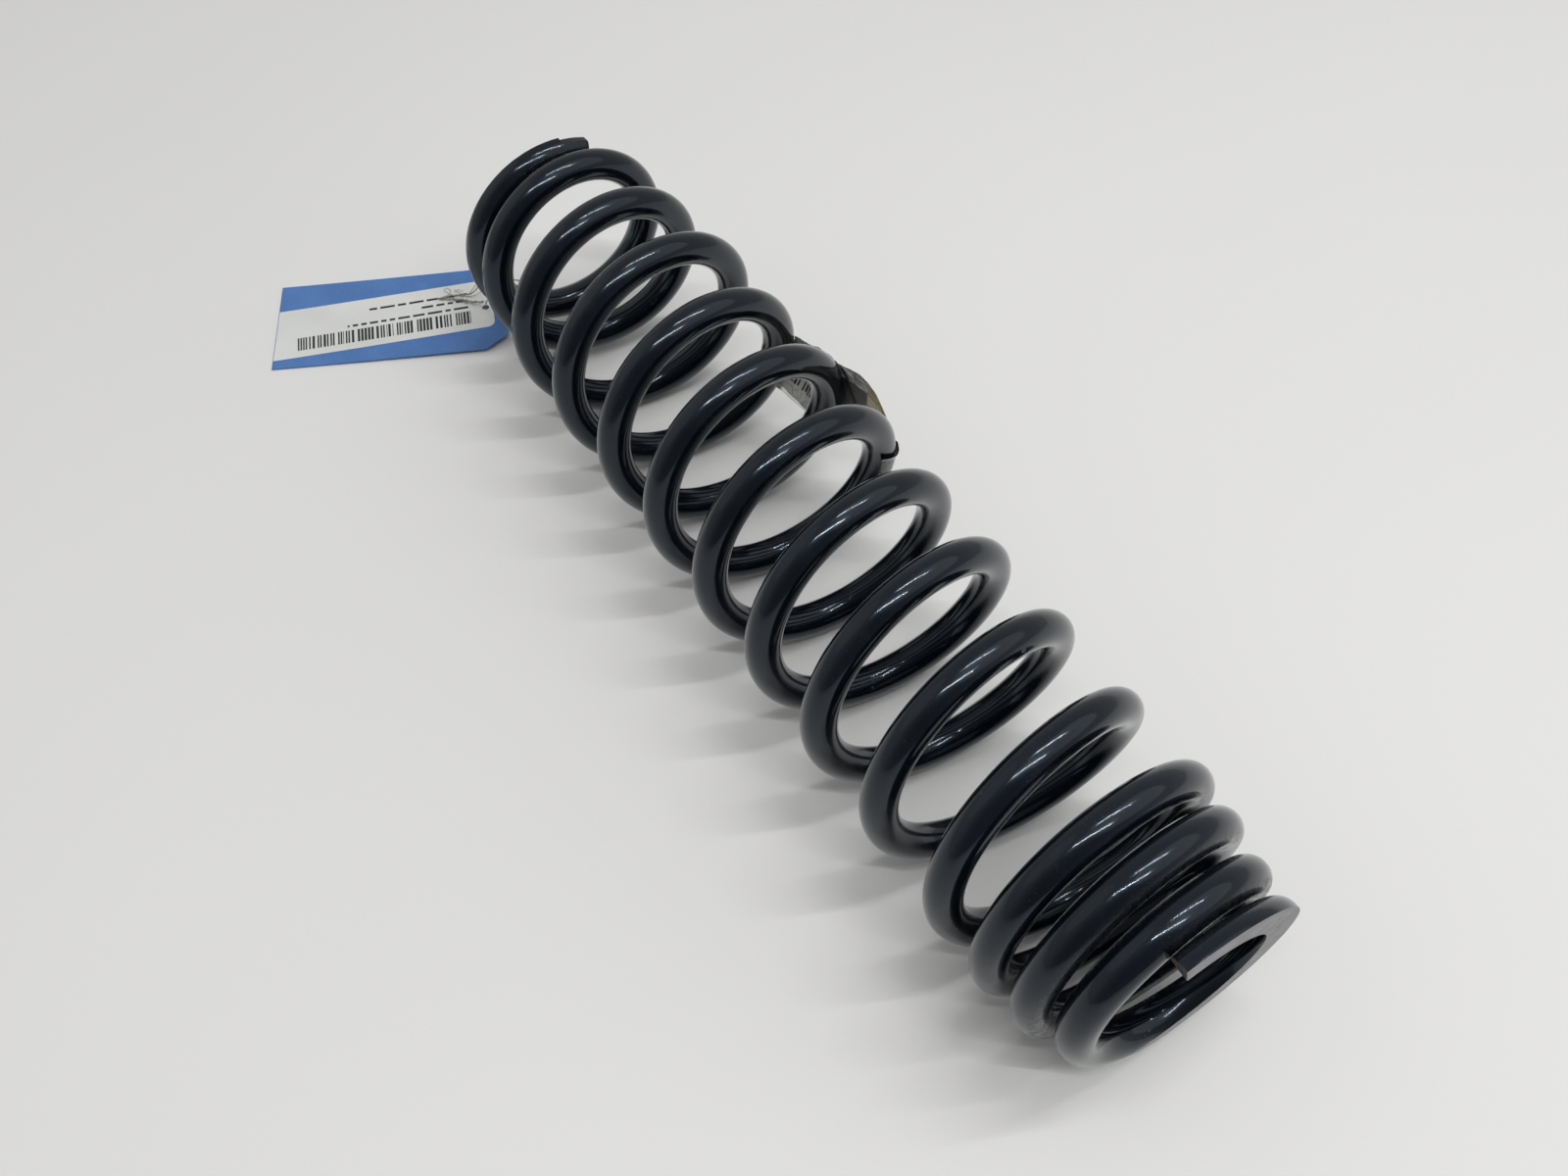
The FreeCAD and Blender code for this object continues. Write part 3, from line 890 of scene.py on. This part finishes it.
def label_grid(cols, rows, top, low, lift, clean=1.0):
    p = np.zeros((len(cols), rows, 3))
    f = np.zeros((len(cols), rows))
    age = np.zeros((len(cols), rows))
    clear = np.zeros((len(cols), rows))
    dark = np.zeros((len(cols), rows))
    for i, w in enumerate(cols):
        a, b = top(w), low(w)
        jag = 0.0022 * noise.noise(Vector((w * 9.0, 1.7, 0.3))) + 0.0010 * noise.noise(Vector((w * 31.0, 5.7, 0.3)))
        jag2 = 0.0026 * noise.noise(Vector((w * 7.0, 9.7, 4.3))) + 0.0012 * noise.noise(Vector((w * 27.0, 2.7, 4.3)))
        for j in range(rows):
            v = j / (rows - 1)
            psi = a + jag * (1 - v) + (b + jag2 * v * (0.3 if 1.05 < w < 1.95 else 1.0) - a) * v
            k = math.exp(-((psi - 0.175) / 0.055) ** 2)
            bn = 0.8 + 2.0 * k
            bf = 0.35 + 0.3 * k
            q, f[i, j] = label_spot(w, psi, lift, bn, bf)
            p[i, j] = q
            frac = w % 1.0
            on_bar = w < 0.07 or w > 1.93 or abs(w - 1) < 0.07
            s = wrinkle(q, on_bar)
            if not on_bar:
                edge = min(1.0, (min(frac, 1 - frac) - 0.05) / 0.18)
                s = s * max(0.0, edge) + 0.12 * (1 - max(0.0, edge))
            rad = unit(np.array([0, q[1] - AXIS_Y, q[2] - AXIS_Z]))
            if w < 0 or w > 2:
                x, r, t = bars_at(psi)
                c = polar(x[0 if w < 0 else 2], r[0 if w < 0 else 2], psi)
                rad = unit(q - c)
                # loose, lifted free edge near the film's upper end
                s += (0.80 if w < 0 else 0.55) * max(0.0, 1 - v / (0.11 if w < 0 else 0.06)) ** 2
            p[i, j] = q + rad * s * clean
            age[i, j] = (smooth((0.58 - w) / 0.03) * smooth((w - 0.05) / 0.06) * smooth((0.240 - psi) / 0.012)) if w < 1 else 0.0
            # darker along an aslant fold line and over the middle bar; on the first bar it is darker all over, with
            # painted shade under the lifted lip
            d = min(fold_gap(w, psi, *q2) for q2 in FOLD)
            dark[i, j] = math.exp(-(d / 1.0) ** 2)
            if w < 0.03:
                dark[i, j] = max(0.55, float(smooth(1.2 - v / 0.06)))
            if 0.90 < w < 1.1:
                dark[i, j] = max(dark[i, j], 0.8 * float(smooth(1 - abs(w - 1) / 0.10)))
            if 0.06 < w < 1.94 and psi > 0.245:
                clear[i, j] = (smooth((w - 0.10) / 0.08) * smooth((1.90 - w) / 0.08)
                               * smooth((psi - 0.247) / 0.010))
    return p, f, age, clear, dark


P, F, AGE, CLEAR, DARK = label_grid(w_cols, rows, film_top, film_low, 0.20)
N = grid_normals(P)
centre_dir = P.copy()
centre_dir[..., 0] = 0
flip = np.sign((N[..., 1] * (P[..., 1] - AXIS_Y) + N[..., 2] * (P[..., 2] - AXIS_Z)).mean())
N = N * flip
top_g, low_g = P + N * 0.06, P - N * 0.06
v_f, f_f = closed_sheet(top_g, low_g)
label_film = make_mesh("label_film", v_f, f_f, None,
                       [("rest_co", "FLOAT_VECTOR", v_f * MM),
                        ("age", "FLOAT", np.tile(AGE.ravel(), 2)),
                        ("dark", "FLOAT", np.tile(DARK.ravel(), 2)),
                        ("clear", "FLOAT", np.tile(CLEAR.ravel(), 2))], None, (M_FILM,))
fix_normals(label_film)
label_film.data.shade_smooth()
bend(label_film, np.tile(F.ravel(), 2))
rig.replaces(label_film, "label_tape")
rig.slot(label_film, "clear_film")

paper_top = curve_of([(0, .214), (.3, .211), (.6, .213), (1.0, .212), (1.5, .222), (1.9, .240), (2.0, .244)])
paper_low = curve_of([(0, .290), (.8, .292), (1, .326), (2, .333)])
p_cols = np.linspace(0.10, 1.93, 110)
PP, PF, P_AGE, _, P_DARK = label_grid(p_cols, 54, paper_top, paper_low, 0.20)
PN = grid_normals(PP) * flip
PP = PP - PN * 0.30
v_p, f_p = closed_sheet(PP + PN * 0.06, PP - PN * 0.06)
P_DIM = np.repeat(smooth((1.0 - p_cols) / 0.06)[:, None], PP.shape[1], 1)
label_paper = make_mesh("label_paper", v_p, f_p, None,
                        [("rest_co", "FLOAT_VECTOR", v_p * MM), ("dim", "FLOAT", np.tile(P_DIM.ravel(), 2)),
                         ("age", "FLOAT", np.tile(P_AGE.ravel(), 2)), ("dark", "FLOAT", np.tile(P_DARK.ravel(), 2))],
                        None, (M_PAPER,))
fix_normals(label_paper)
label_paper.data.shade_smooth()
bend(label_paper, np.tile(PF.ravel(), 2))
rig.replaces(label_paper, "label_sheet")
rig.slot(label_paper, "label_paper")


def patch_on(grid, normals, weights, i0, i1, j0, j1, off, thick=0.03, n=3):
    """A thin raised block that follows a grid between fractional places."""
    us, vs = np.linspace(i0, i1, n), np.linspace(j0, j1, n)

    def at(arr, u, v):
        a, b = int(u), int(v)
        a, b = min(a, arr.shape[0] - 2), min(b, arr.shape[1] - 2)
        du, dv = u - a, v - b
        return (arr[a, b] * (1 - du) * (1 - dv) + arr[a + 1, b] * du * (1 - dv)
                + arr[a, b + 1] * (1 - du) * dv + arr[a + 1, b + 1] * du * dv)

    g = np.array([[at(grid, u, v) for v in vs] for u in us])
    nn = np.array([[at(normals, u, v) for v in vs] for u in us])
    w = np.array([[at(weights, u, v) for v in vs] for u in us])
    v, f = closed_sheet(g + nn * (off + thick), g + nn * off)
    return v, f, np.tile(w.ravel(), 2)


# generic printed blocks and dashes on the label's inner face, seen through the coils
marks, mw = [], []
for (j0, j1, dense) in ((6, 11, 1), (15, 24, 3), (28, 32, 1), (36, 44, 2)):
    u = 56.0
    while u < 100:
        wdt = rng.uniform(1.2, 2.4) if dense < 3 else rng.uniform(1.8, 4.2)
        if rng.random() < 0.82:
            h = rng.uniform(0.75, 1.0)
            mid_j = (j0 + j1) / 2
            hh = (j1 - j0) / 2 * h
            v, f, w = patch_on(PP, PN, PF, u, u + wdt, mid_j - hh, mid_j + hh, -0.09, 0.02)
            marks.append((v, f))
            mw.append(w)
        u += wdt + rng.uniform(0.7, 1.5)
v_m, f_m = join(marks)
label_print = make_mesh("label_print", v_m, f_m, None, [("rest_co", "FLOAT_VECTOR", v_m * MM)],
                        None, (M_INK,))
fix_normals(label_print)
bend(label_print, np.concatenate(mw))
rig.slot(label_print, "label_paper")

# ------------------------------------------------------------------ card tag
TAG_L, TAG_W, TAG_T = 95.25, 47.6, 0.3
CLIP_L, CLIP_W = 8.85, 7.1
HOLE = (86.0, 23.8)
HOLE_R = 2.4
ALONG = np.array([-0.443794, -0.895959, 0.0])
ACROSS = np.array([-0.895959, 0.443794, 0.0])
CORNER = np.array([441.7 - MID, AXIS_Y + 97.5, 0.08])


def tag_height(a, c):
    """The card rests on its free end and lifts gently towards its hole."""
    a = np.asarray(a, float)
    return 1.66 * np.clip(a / TAG_L, 0, 1) ** 1.45 + 0.10 * np.sin(math.pi * c / TAG_W) * (a / TAG_L)


def on_tag(a, c, h=0.0):
    a, c = np.asarray(a, float), np.asarray(c, float)
    z = tag_height(a, c) + h
    return CORNER + a[..., None] * ALONG + c[..., None] * ACROSS + z[..., None] * np.array([0, 0, 1.0])


def punched(ob, a, c, radius):
    """Cuts a round hole through a sheet."""
    bpy.context.view_layer.update()
    v, f = tube([on_tag(np.array(a), np.array(c), h) for h in (-3.0, -1.0, 1.0, 3.0)], radius, 40)
    cutter = make_mesh("hole_cutter", v, f)
    fix_normals(cutter)
    mod = ob.modifiers.new("hole", "BOOLEAN")
    mod.operation = "DIFFERENCE"
    mod.solver = "EXACT"
    mod.object = cutter
    dg = bpy.context.evaluated_depsgraph_get()
    me = bpy.data.meshes.new_from_object(ob.evaluated_get(dg))
    ob.modifiers.clear()
    old = ob.data
    ob.data = me
    bpy.data.meshes.remove(old)
    cut_me = cutter.data
    bpy.data.objects.remove(cutter)
    bpy.data.meshes.remove(cut_me)


a_cols = np.concatenate([np.linspace(0, TAG_L - CLIP_L, 44)[:-1], np.linspace(TAG_L - CLIP_L, TAG_L, 7)])
c_rows = np.linspace(0, 1, 25)
A = np.repeat(a_cols[:, None], len(c_rows), 1)
inset = np.clip((A - (TAG_L - CLIP_L)) / CLIP_L, 0, 1) * CLIP_W
C = inset + c_rows[None, :] * (TAG_W - 2 * inset)
v_c, f_c = closed_sheet(on_tag(A, C, TAG_T), on_tag(A, C, 0.0))
tag_card = make_mesh("tag_card_sheet", v_c, f_c, None, (), None, (M_CARD,))
fix_normals(tag_card)
punched(tag_card, *HOLE, HOLE_R)
tag_card.data.materials.clear()
tag_card.data.materials.append(M_CARD)
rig.ride(tag_card, "far_end")
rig.replaces(tag_card, "tag_card")
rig.slot(tag_card, "blue_card")

SKEW = math.radians(5.2)
SU = (math.cos(SKEW), -math.sin(SKEW))
SV = (math.sin(SKEW), math.cos(SKEW))
S_W, S_R = 28.0, 3.0
S_CORNER = (87.5, 7.0)
S_T = 0.10


def sticker_place(u, v):
    """u mm back from the end by the hole, v mm across: along and across on the tag."""
    return S_CORNER[0] - SU[0] * u + SV[0] * v, S_CORNER[1] - SU[1] * u + SV[1] * v


v_rows = np.linspace(0, 1, 23)
s_cols = np.concatenate([S_R * (1 - np.cos(np.linspace(0, math.pi / 2, 8)))[:-1], np.linspace(S_R, 86.9, 42)])
SA = np.zeros((len(s_cols), len(v_rows)))
SC = np.zeros_like(SA)
for i, u in enumerate(s_cols):
    ins = S_R - math.sqrt(max(0.0, S_R ** 2 - (S_R - u) ** 2)) if u < S_R else 0.0
    for j, q in enumerate(v_rows):
        v = ins + q * (S_W - 2 * ins)
        # the card's free end cuts the sticker off square to the card
        full = (S_CORNER[0] + SV[0] * v - 0.25) / SU[0]
        uu = u if u < 60 else 60 + (u - 60) / (86.9 - 60) * (full - 60)
        SA[i, j], SC[i, j] = sticker_place(uu, v)
v_s, f_s = closed_sheet(on_tag(SA, SC, TAG_T + S_T), on_tag(SA, SC, TAG_T + 0.004))
tag_sticker = make_mesh("tag_sticker_sheet", v_s, f_s, None, (), None, (M_STICKER,))
fix_normals(tag_sticker)
punched(tag_sticker, *HOLE, 1.4)
tag_sticker.data.materials.clear()
tag_sticker.data.materials.append(M_STICKER)
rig.ride(tag_sticker, "far_end")
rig.replaces(tag_sticker, "tag_sticker")
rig.slot(tag_sticker, "white_sticker")


def mark(u0, u1, v0, v1, n=3):
    us, vs = np.linspace(u0, u1, n), np.linspace(v0, v1, n)
    uu, vv = np.meshgrid(us, vs, indexing="ij")
    aa, cc = sticker_place(uu, vv)
    h = TAG_T + S_T
    return closed_sheet(on_tag(aa, cc, h + 0.012), on_tag(aa, cc, h - 0.01))


PRINT = []
# strip of bars: nine groups of uneven bars, generic
STRIP_U0, STRIP_U1, STRIP_V0, STRIP_V1 = 9.5, 81.4, 17.1, 24.3
group = (STRIP_U1 - STRIP_U0) / 9.0
for g in range(9):
    u = STRIP_U0 + g * group
    units = 0
    while units < 20:
        wide = rng.choice((1, 2, 2, 3, 3))
        space = rng.choice((1, 1, 1, 2))
        if units + wide > 20:
            break
        k = (group - 0.5) / 21.5
        PRINT.append(mark(u + units * k, u + (units + wide) * k - 0.05, STRIP_V0, STRIP_V1))
        units += wide + space
# three rows of plain dashes, which aren't letters
for v0, u0, u1 in ((13.6, 10.2, 60.0), (9.5, 10.2, 30.3), (5.6, 10.2, 50.8)):
    u = u0
    while u < u1:
        wdt = min(rng.choice((2.2, 3.4, 4.8, 6.0)), u1 - u)
        PRINT.append(mark(u, u + wdt, v0 + 0.45, v0 + 1.65))
        u += wdt + 1.3
v_i, f_i = join(PRINT)
tag_print = make_mesh("tag_print", v_i, f_i, None, (), None, (M_INK,))
fix_normals(tag_print)
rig.ride(tag_print, "far_end")
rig.slot(tag_print, "white_sticker")

# ------------------------------------------------------------------ wire tie
ROUTE = [(200.96, 32.30, 0.88), (200.66, 32.00, 5.48), (196.75, 30.88, 9.40), (191.05, 29.48, 12.60),
         (184.90, 28.04, 14.93), (177.15, 31.07, 13.80), (170.47, 28.20, 18.28), (171.65, 22.66, 25.03),
         (179.50, 20.87, 27.86), (186.34, 25.09, 25.00), (194.35, 26.18, 22.30), (202.25, 27.58, 16.60),
         (207.75, 29.88, 9.60), (209.35, 32.88, 4.20), (211.75, 36.88, 2.45), (215.15, 40.68, 2.35),
         (215.95, 45.68, 2.30)]
ROUTE = [tuple(c * MM for c in p) for p in ROUTE]
TIE_D = 0.0005


def nurbs(name, bevel):
    cu = bpy.data.curves.new(name, "CURVE")
    cu.dimensions = "3D"
    cu.resolution_u = 16
    sp = cu.splines.new("NURBS")
    sp.points.add(len(ROUTE) - 1)
    for q, p in zip(sp.points, ROUTE):
        q.co = (*p, 1.0)
    sp.order_u = 3
    sp.use_endpoint_u = True
    cu.bevel_depth = bevel
    cu.bevel_resolution = 3
    cu.use_fill_caps = bevel > 0
    ob = bpy.data.objects.new(name, cu)
    bpy.context.scene.collection.objects.link(ob)
    return ob


tie = nurbs("tag_tie_wire", TIE_D / 2)
tie.data.materials.append(M_WIRE)
probe = nurbs("tie_probe", 0.0)
bpy.context.view_layer.update()
dg = bpy.context.evaluated_depsgraph_get()
line_me = bpy.data.meshes.new_from_object(probe.evaluated_get(dg))
line = np.array([v.co[:] for v in line_me.vertices]) / MM
bpy.data.meshes.remove(line_me)
probe_cu = probe.data
bpy.data.objects.remove(probe)
bpy.data.curves.remove(probe_cu)
if np.linalg.norm(line[0] - np.array(ROUTE[0]) / MM) > 0.5:
    line = line[::-1]
seg = np.linalg.norm(np.diff(line, axis=0), axis=1)
s_line = np.concatenate([[0], np.cumsum(seg)])
S_TIE = s_line[-1]


def tie_at(s):
    return np.array([np.interp(s, s_line, line[:, k]) for k in range(3)])


def twisted(s0, s1, off, pitch, phase, n=120):
    """A strand that winds round the tie's own line."""
    ss = np.linspace(s0, s1, n)
    base = np.array([tie_at(s) for s in ss])
    t = unit(np.gradient(base, axis=0))
    nn = np.cross(t[0], (0.1, 0.2, 1.0))
    nn /= np.linalg.norm(nn)
    out = []
    for i in range(n):
        nn = nn - t[i] * nn.dot(t[i])
        nn /= np.linalg.norm(nn)
        b = np.cross(t[i], nn)
        a = phase + PI2 * (ss[i] - s0) / pitch
        q = base[i] + off * (math.cos(a) * nn + math.sin(a) * b)
        out.append(q)
    return np.array(out)


def above(p, extra=0.28):
    """Keeps a strand off the sticker's surface."""
    d = p - CORNER
    a, c = d[:, 0] * ALONG[0] + d[:, 1] * ALONG[1], d[:, 0] * ACROSS[0] + d[:, 1] * ACROSS[1]
    floor = np.where((a < TAG_L) & (c > 0) & (c < TAG_W), tag_height(a, c) + TAG_T + S_T, 0) + extra
    q = p.copy()
    q[:, 2] = np.maximum(q[:, 2], floor)
    return q


def loop_on_tag(points, radius, h0=0.35, seed=0):
    """A loose end, laid over the tag through (along, across, height) spots."""
    pts = np.array(points, float)
    n = 14 * (len(pts) - 1)
    k = np.linspace(0, len(pts) - 1, n)
    res = np.array([np.interp(k, range(len(pts)), pts[:, i]) for i in range(3)]).T
    for _ in range(26):
        res[1:-1] = res[1:-1] * 0.5 + (res[:-2] + res[2:]) * 0.25
    xyz = on_tag(res[:, 0], res[:, 1], TAG_T + S_T) + res[:, 2:3] * np.array([0, 0, 1.0])
    return tube(xyz, radius, 8, 0.4)


def wound(points, off, pitch, phase, n=110):
    """A strand that winds round a line laid over the tag through (along, across, height) spots."""
    pts = np.array(points, float)
    k = np.linspace(0, len(pts) - 1, n)
    res = np.array([np.interp(k, range(len(pts)), pts[:, i]) for i in range(3)]).T
    for _ in range(60):
        res[1:-1] = res[1:-1] * 0.5 + (res[:-2] + res[2:]) * 0.25
    base = on_tag(res[:, 0], res[:, 1], TAG_T + S_T) + res[:, 2:3] * np.array([0, 0, 1.0])
    step = np.concatenate([[0], np.cumsum(np.linalg.norm(np.diff(base, axis=0), axis=1))])
    t = unit(np.gradient(base, axis=0))
    side = unit(np.cross(t, (0, 0, 1.0)))
    lift = np.cross(side, t)
    a = (phase + PI2 * step / pitch)[:, None]
    grow = (off * (0.7 + 0.5 * np.sin(phase + 0.35 * step)))[:, None]
    return base + grow * (np.cos(a) * side + np.sin(a) * lift)


BUNDLE = [(85.6, 23.2, 2.6), (82.5, 21.9, 1.5), (79.0, 20.4, 1.0), (75.5, 18.9, 0.9), (71.5, 17.4, 0.8), (66.3, 15.9, 0.45)]
strands = [
    tube(above(wound(BUNDLE, 0.50, 3.6, 0.4), 0.24), 0.20, 8),
    tube(above(wound(BUNDLE[:-1], 0.46, 3.1, 2.6), 0.22), 0.17, 8),
    tube(above(wound(BUNDLE, 0.55, 4.3, 4.4), 0.22), 0.16, 8),
    tube(above(wound(BUNDLE[1:], 0.42, 2.8, 5.4), 0.22), 0.15, 8),
    tube(above(twisted(S_TIE - 14, S_TIE - 0.3, 0.30, 3.4, 0.4)), 0.14, 8),
    loop_on_tag([(74, 16.2, 0.5), (71, 15.2, 1.2), (68.4, 12.8, 1.8), (69.6, 11.2, 1.5), (71.6, 12.6, 0.9), (70.4, 14.8, 0.5), (66.8, 15.6, 0.3)], 0.13),
    loop_on_tag([(77, 15.8, 0.6), (74.5, 13.9, 1.0), (72.6, 12.9, 0.9), (74.2, 12.0, 0.6), (76.6, 13.2, 0.5)], 0.12),
    loop_on_tag([(76, 16.4, 0.7), (79.5, 15.8, 1.4), (81.6, 13.0, 2.4), (83.4, 11.6, 3.0), (85.0, 12.2, 3.0)], 0.14),
    loop_on_tag([(78, 17.0, 0.7), (81.5, 17.6, 1.4), (84.0, 16.9, 2.2), (85.8, 15.2, 2.6)], 0.14),
    loop_on_tag([(72, 16.6, 0.5), (69, 17.4, 0.6), (66.6, 16.8, 0.4), (64.9, 15.4, 0.25)], 0.13),
]
v_t, f_t = join(strands)
tie_twist = make_mesh("tag_tie_twist", v_t, f_t, None, (), None, (M_WIRE,))
fix_normals(tie_twist)
tie_twist.data.shade_smooth()
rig.ride(tie, "far_end")
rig.ride(tie_twist, "far_end")
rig.replaces(tie, "tag_tie")
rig.slot(tie, "tie_wire")
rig.slot(tie_twist, "tie_wire")
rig.cord(tie, exit=ROUTE[0], length=S_TIE * MM, diameter=TIE_D, far_end="bare", stiffness="medium",
        lay="loose", with_pieces=[tie_twist])

# ------------------------------------------------------------------ floor, light, camera
floor_me = bpy.data.meshes.new("floor")
floor_me.from_pydata([(-5, -5, 0), (5, -5, 0), (5, 5, 0), (-5, 5, 0)], [], [(0, 1, 2, 3)])
floor = bpy.data.objects.new("floor", floor_me)
floor.location = (0, 0, -0.0002)
bpy.context.scene.collection.objects.link(floor)
mf = Mat("pale_floor")
fv = mf.obj()
mf.set(Base_Color=mf.mix(mf.noise(fv, 3.0, 3.0), (0.800, 0.796, 0.788), (0.835, 0.830, 0.822)), Roughness=0.55,
       Specular_IOR_Level=0.3, Normal=mf.bump(mf.noise(fv, 700, 3.0), 0.04, 0.0002))
floor_me.materials.append(mf.m)
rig.stage(floor)


def area(name, direction, dist, size, power, size_y=None, target=(0, 0, 0.03), spin=0.0):
    li = bpy.data.lights.new(name, "AREA")
    li.shape = "RECTANGLE" if size_y else "DISK"
    li.size = size
    if size_y:
        li.size_y = size_y
    li.energy = power
    ob = bpy.data.objects.new(name, li)
    bpy.context.scene.collection.objects.link(ob)
    d = Vector(direction).normalized()
    ob.location = Vector(target) + d * dist
    q = (-d).to_track_quat("-Z", "Y")
    ob.rotation_euler = (q.to_matrix() @ Matrix.Rotation(spin, 3, "Z")).to_euler()
    return ob


def strip(name, p0, p1, width, power):
    """A straight tube light between two spots overhead, facing down."""
    a, b = Vector(p0), Vector(p1)
    mid = (a + b) / 2
    li = bpy.data.lights.new(name, "AREA")
    li.shape = "RECTANGLE"
    li.size = (b - a).length
    li.size_y = width
    li.energy = power
    ob = bpy.data.objects.new(name, li)
    bpy.context.scene.collection.objects.link(ob)
    z = (mid - Vector((0, 0, 0.03))).normalized()
    x = (b - a).normalized()
    y = z.cross(x).normalized()
    x = y.cross(z).normalized()
    ob.matrix_world = Matrix((( x.x, y.x, z.x, mid.x), (x.y, y.y, z.y, mid.y), (x.z, y.z, z.z, mid.z), (0, 0, 0, 1)))
    return ob


def zen(x, y, h=1.6):
    return (h * math.tan(math.radians(x)), h * math.tan(math.radians(y)), h)


strip("tube_a", zen(-33, -15), zen(-6, 19), 0.008, 8.4)
strip("tube_b", zen(-13, -31), zen(3, -2), 0.007, 6.0)
az, el = math.radians(-125), math.radians(50)
area("key", (math.cos(az) * math.cos(el), math.sin(az) * math.cos(el), math.sin(el)), 1.6, 1.9, 4.0)
az, el = math.radians(50), math.radians(42)
area("fill", (math.cos(az) * math.cos(el), math.sin(az) * math.cos(el), math.sin(el)), 2.0, 1.8, 1.2)

world = bpy.data.worlds.new("studio")
world.use_nodes = True
bpy.context.scene.world = world
wn = world.node_tree
wn.nodes.clear()
w_out = wn.nodes.new("ShaderNodeOutputWorld")
w_bg = wn.nodes.new("ShaderNodeBackground")
w_tc = wn.nodes.new("ShaderNodeTexCoord")
w_dot = wn.nodes.new("ShaderNodeVectorMath")
w_dot.operation = "DOT_PRODUCT"
w_dot.inputs[1].default_value = (math.cos(math.radians(150)) * 0.9, math.sin(math.radians(150)) * 0.9, 0.30)
w_map = wn.nodes.new("ShaderNodeMapRange")
w_map.interpolation_type = "SMOOTHSTEP"
w_map.inputs["From Min"].default_value = 0.25
w_map.inputs["From Max"].default_value = 0.95
w_map.inputs["To Min"].default_value = 0.445
w_map.inputs["To Max"].default_value = 0.15
wn.links.new(w_tc.outputs["Generated"], w_dot.inputs[0])
wn.links.new(w_dot.outputs["Value"], w_map.inputs["Value"])
wn.links.new(w_map.outputs[0], w_bg.inputs["Strength"])
w_bg.inputs["Color"].default_value = (1.0, 1.0, 0.995, 1)
wn.links.new(w_bg.outputs[0], w_out.inputs["Surface"])
bpy.context.scene.view_settings.view_transform = "Standard"

cam_data = bpy.data.cameras.new("camera")
cam_data.sensor_width = 36.0
cam_data.lens = 32.28
cam_data.clip_start = 0.01
cam = bpy.data.objects.new("camera", cam_data)
bpy.context.scene.collection.objects.link(cam)
right = Vector((-0.53796, -0.84291, -0.01018)).normalized()
fwd = Vector((0.48617, -0.30037, -0.82062)).normalized()
up = right.cross(fwd).normalized()
right = fwd.cross(up).normalized()
loc = Vector((-0.2300, 0.15538, 0.41355))
cam.matrix_world = Matrix(((right.x, up.x, -fwd.x, loc.x), (right.y, up.y, -fwd.y, loc.y),
                           (right.z, up.z, -fwd.z, loc.z), (0, 0, 0, 1)))
bpy.context.scene.camera = cam


def plain(b):
    return [list(map(float, p)) for p in b]


bpy.context.view_layer.update()
try:
    with open("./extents.json", "w") as fh:
        json.dump({"cad_box": plain(cad_box), "visual_box": plain(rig.bounds())}, fh)
except OSError:
    pass
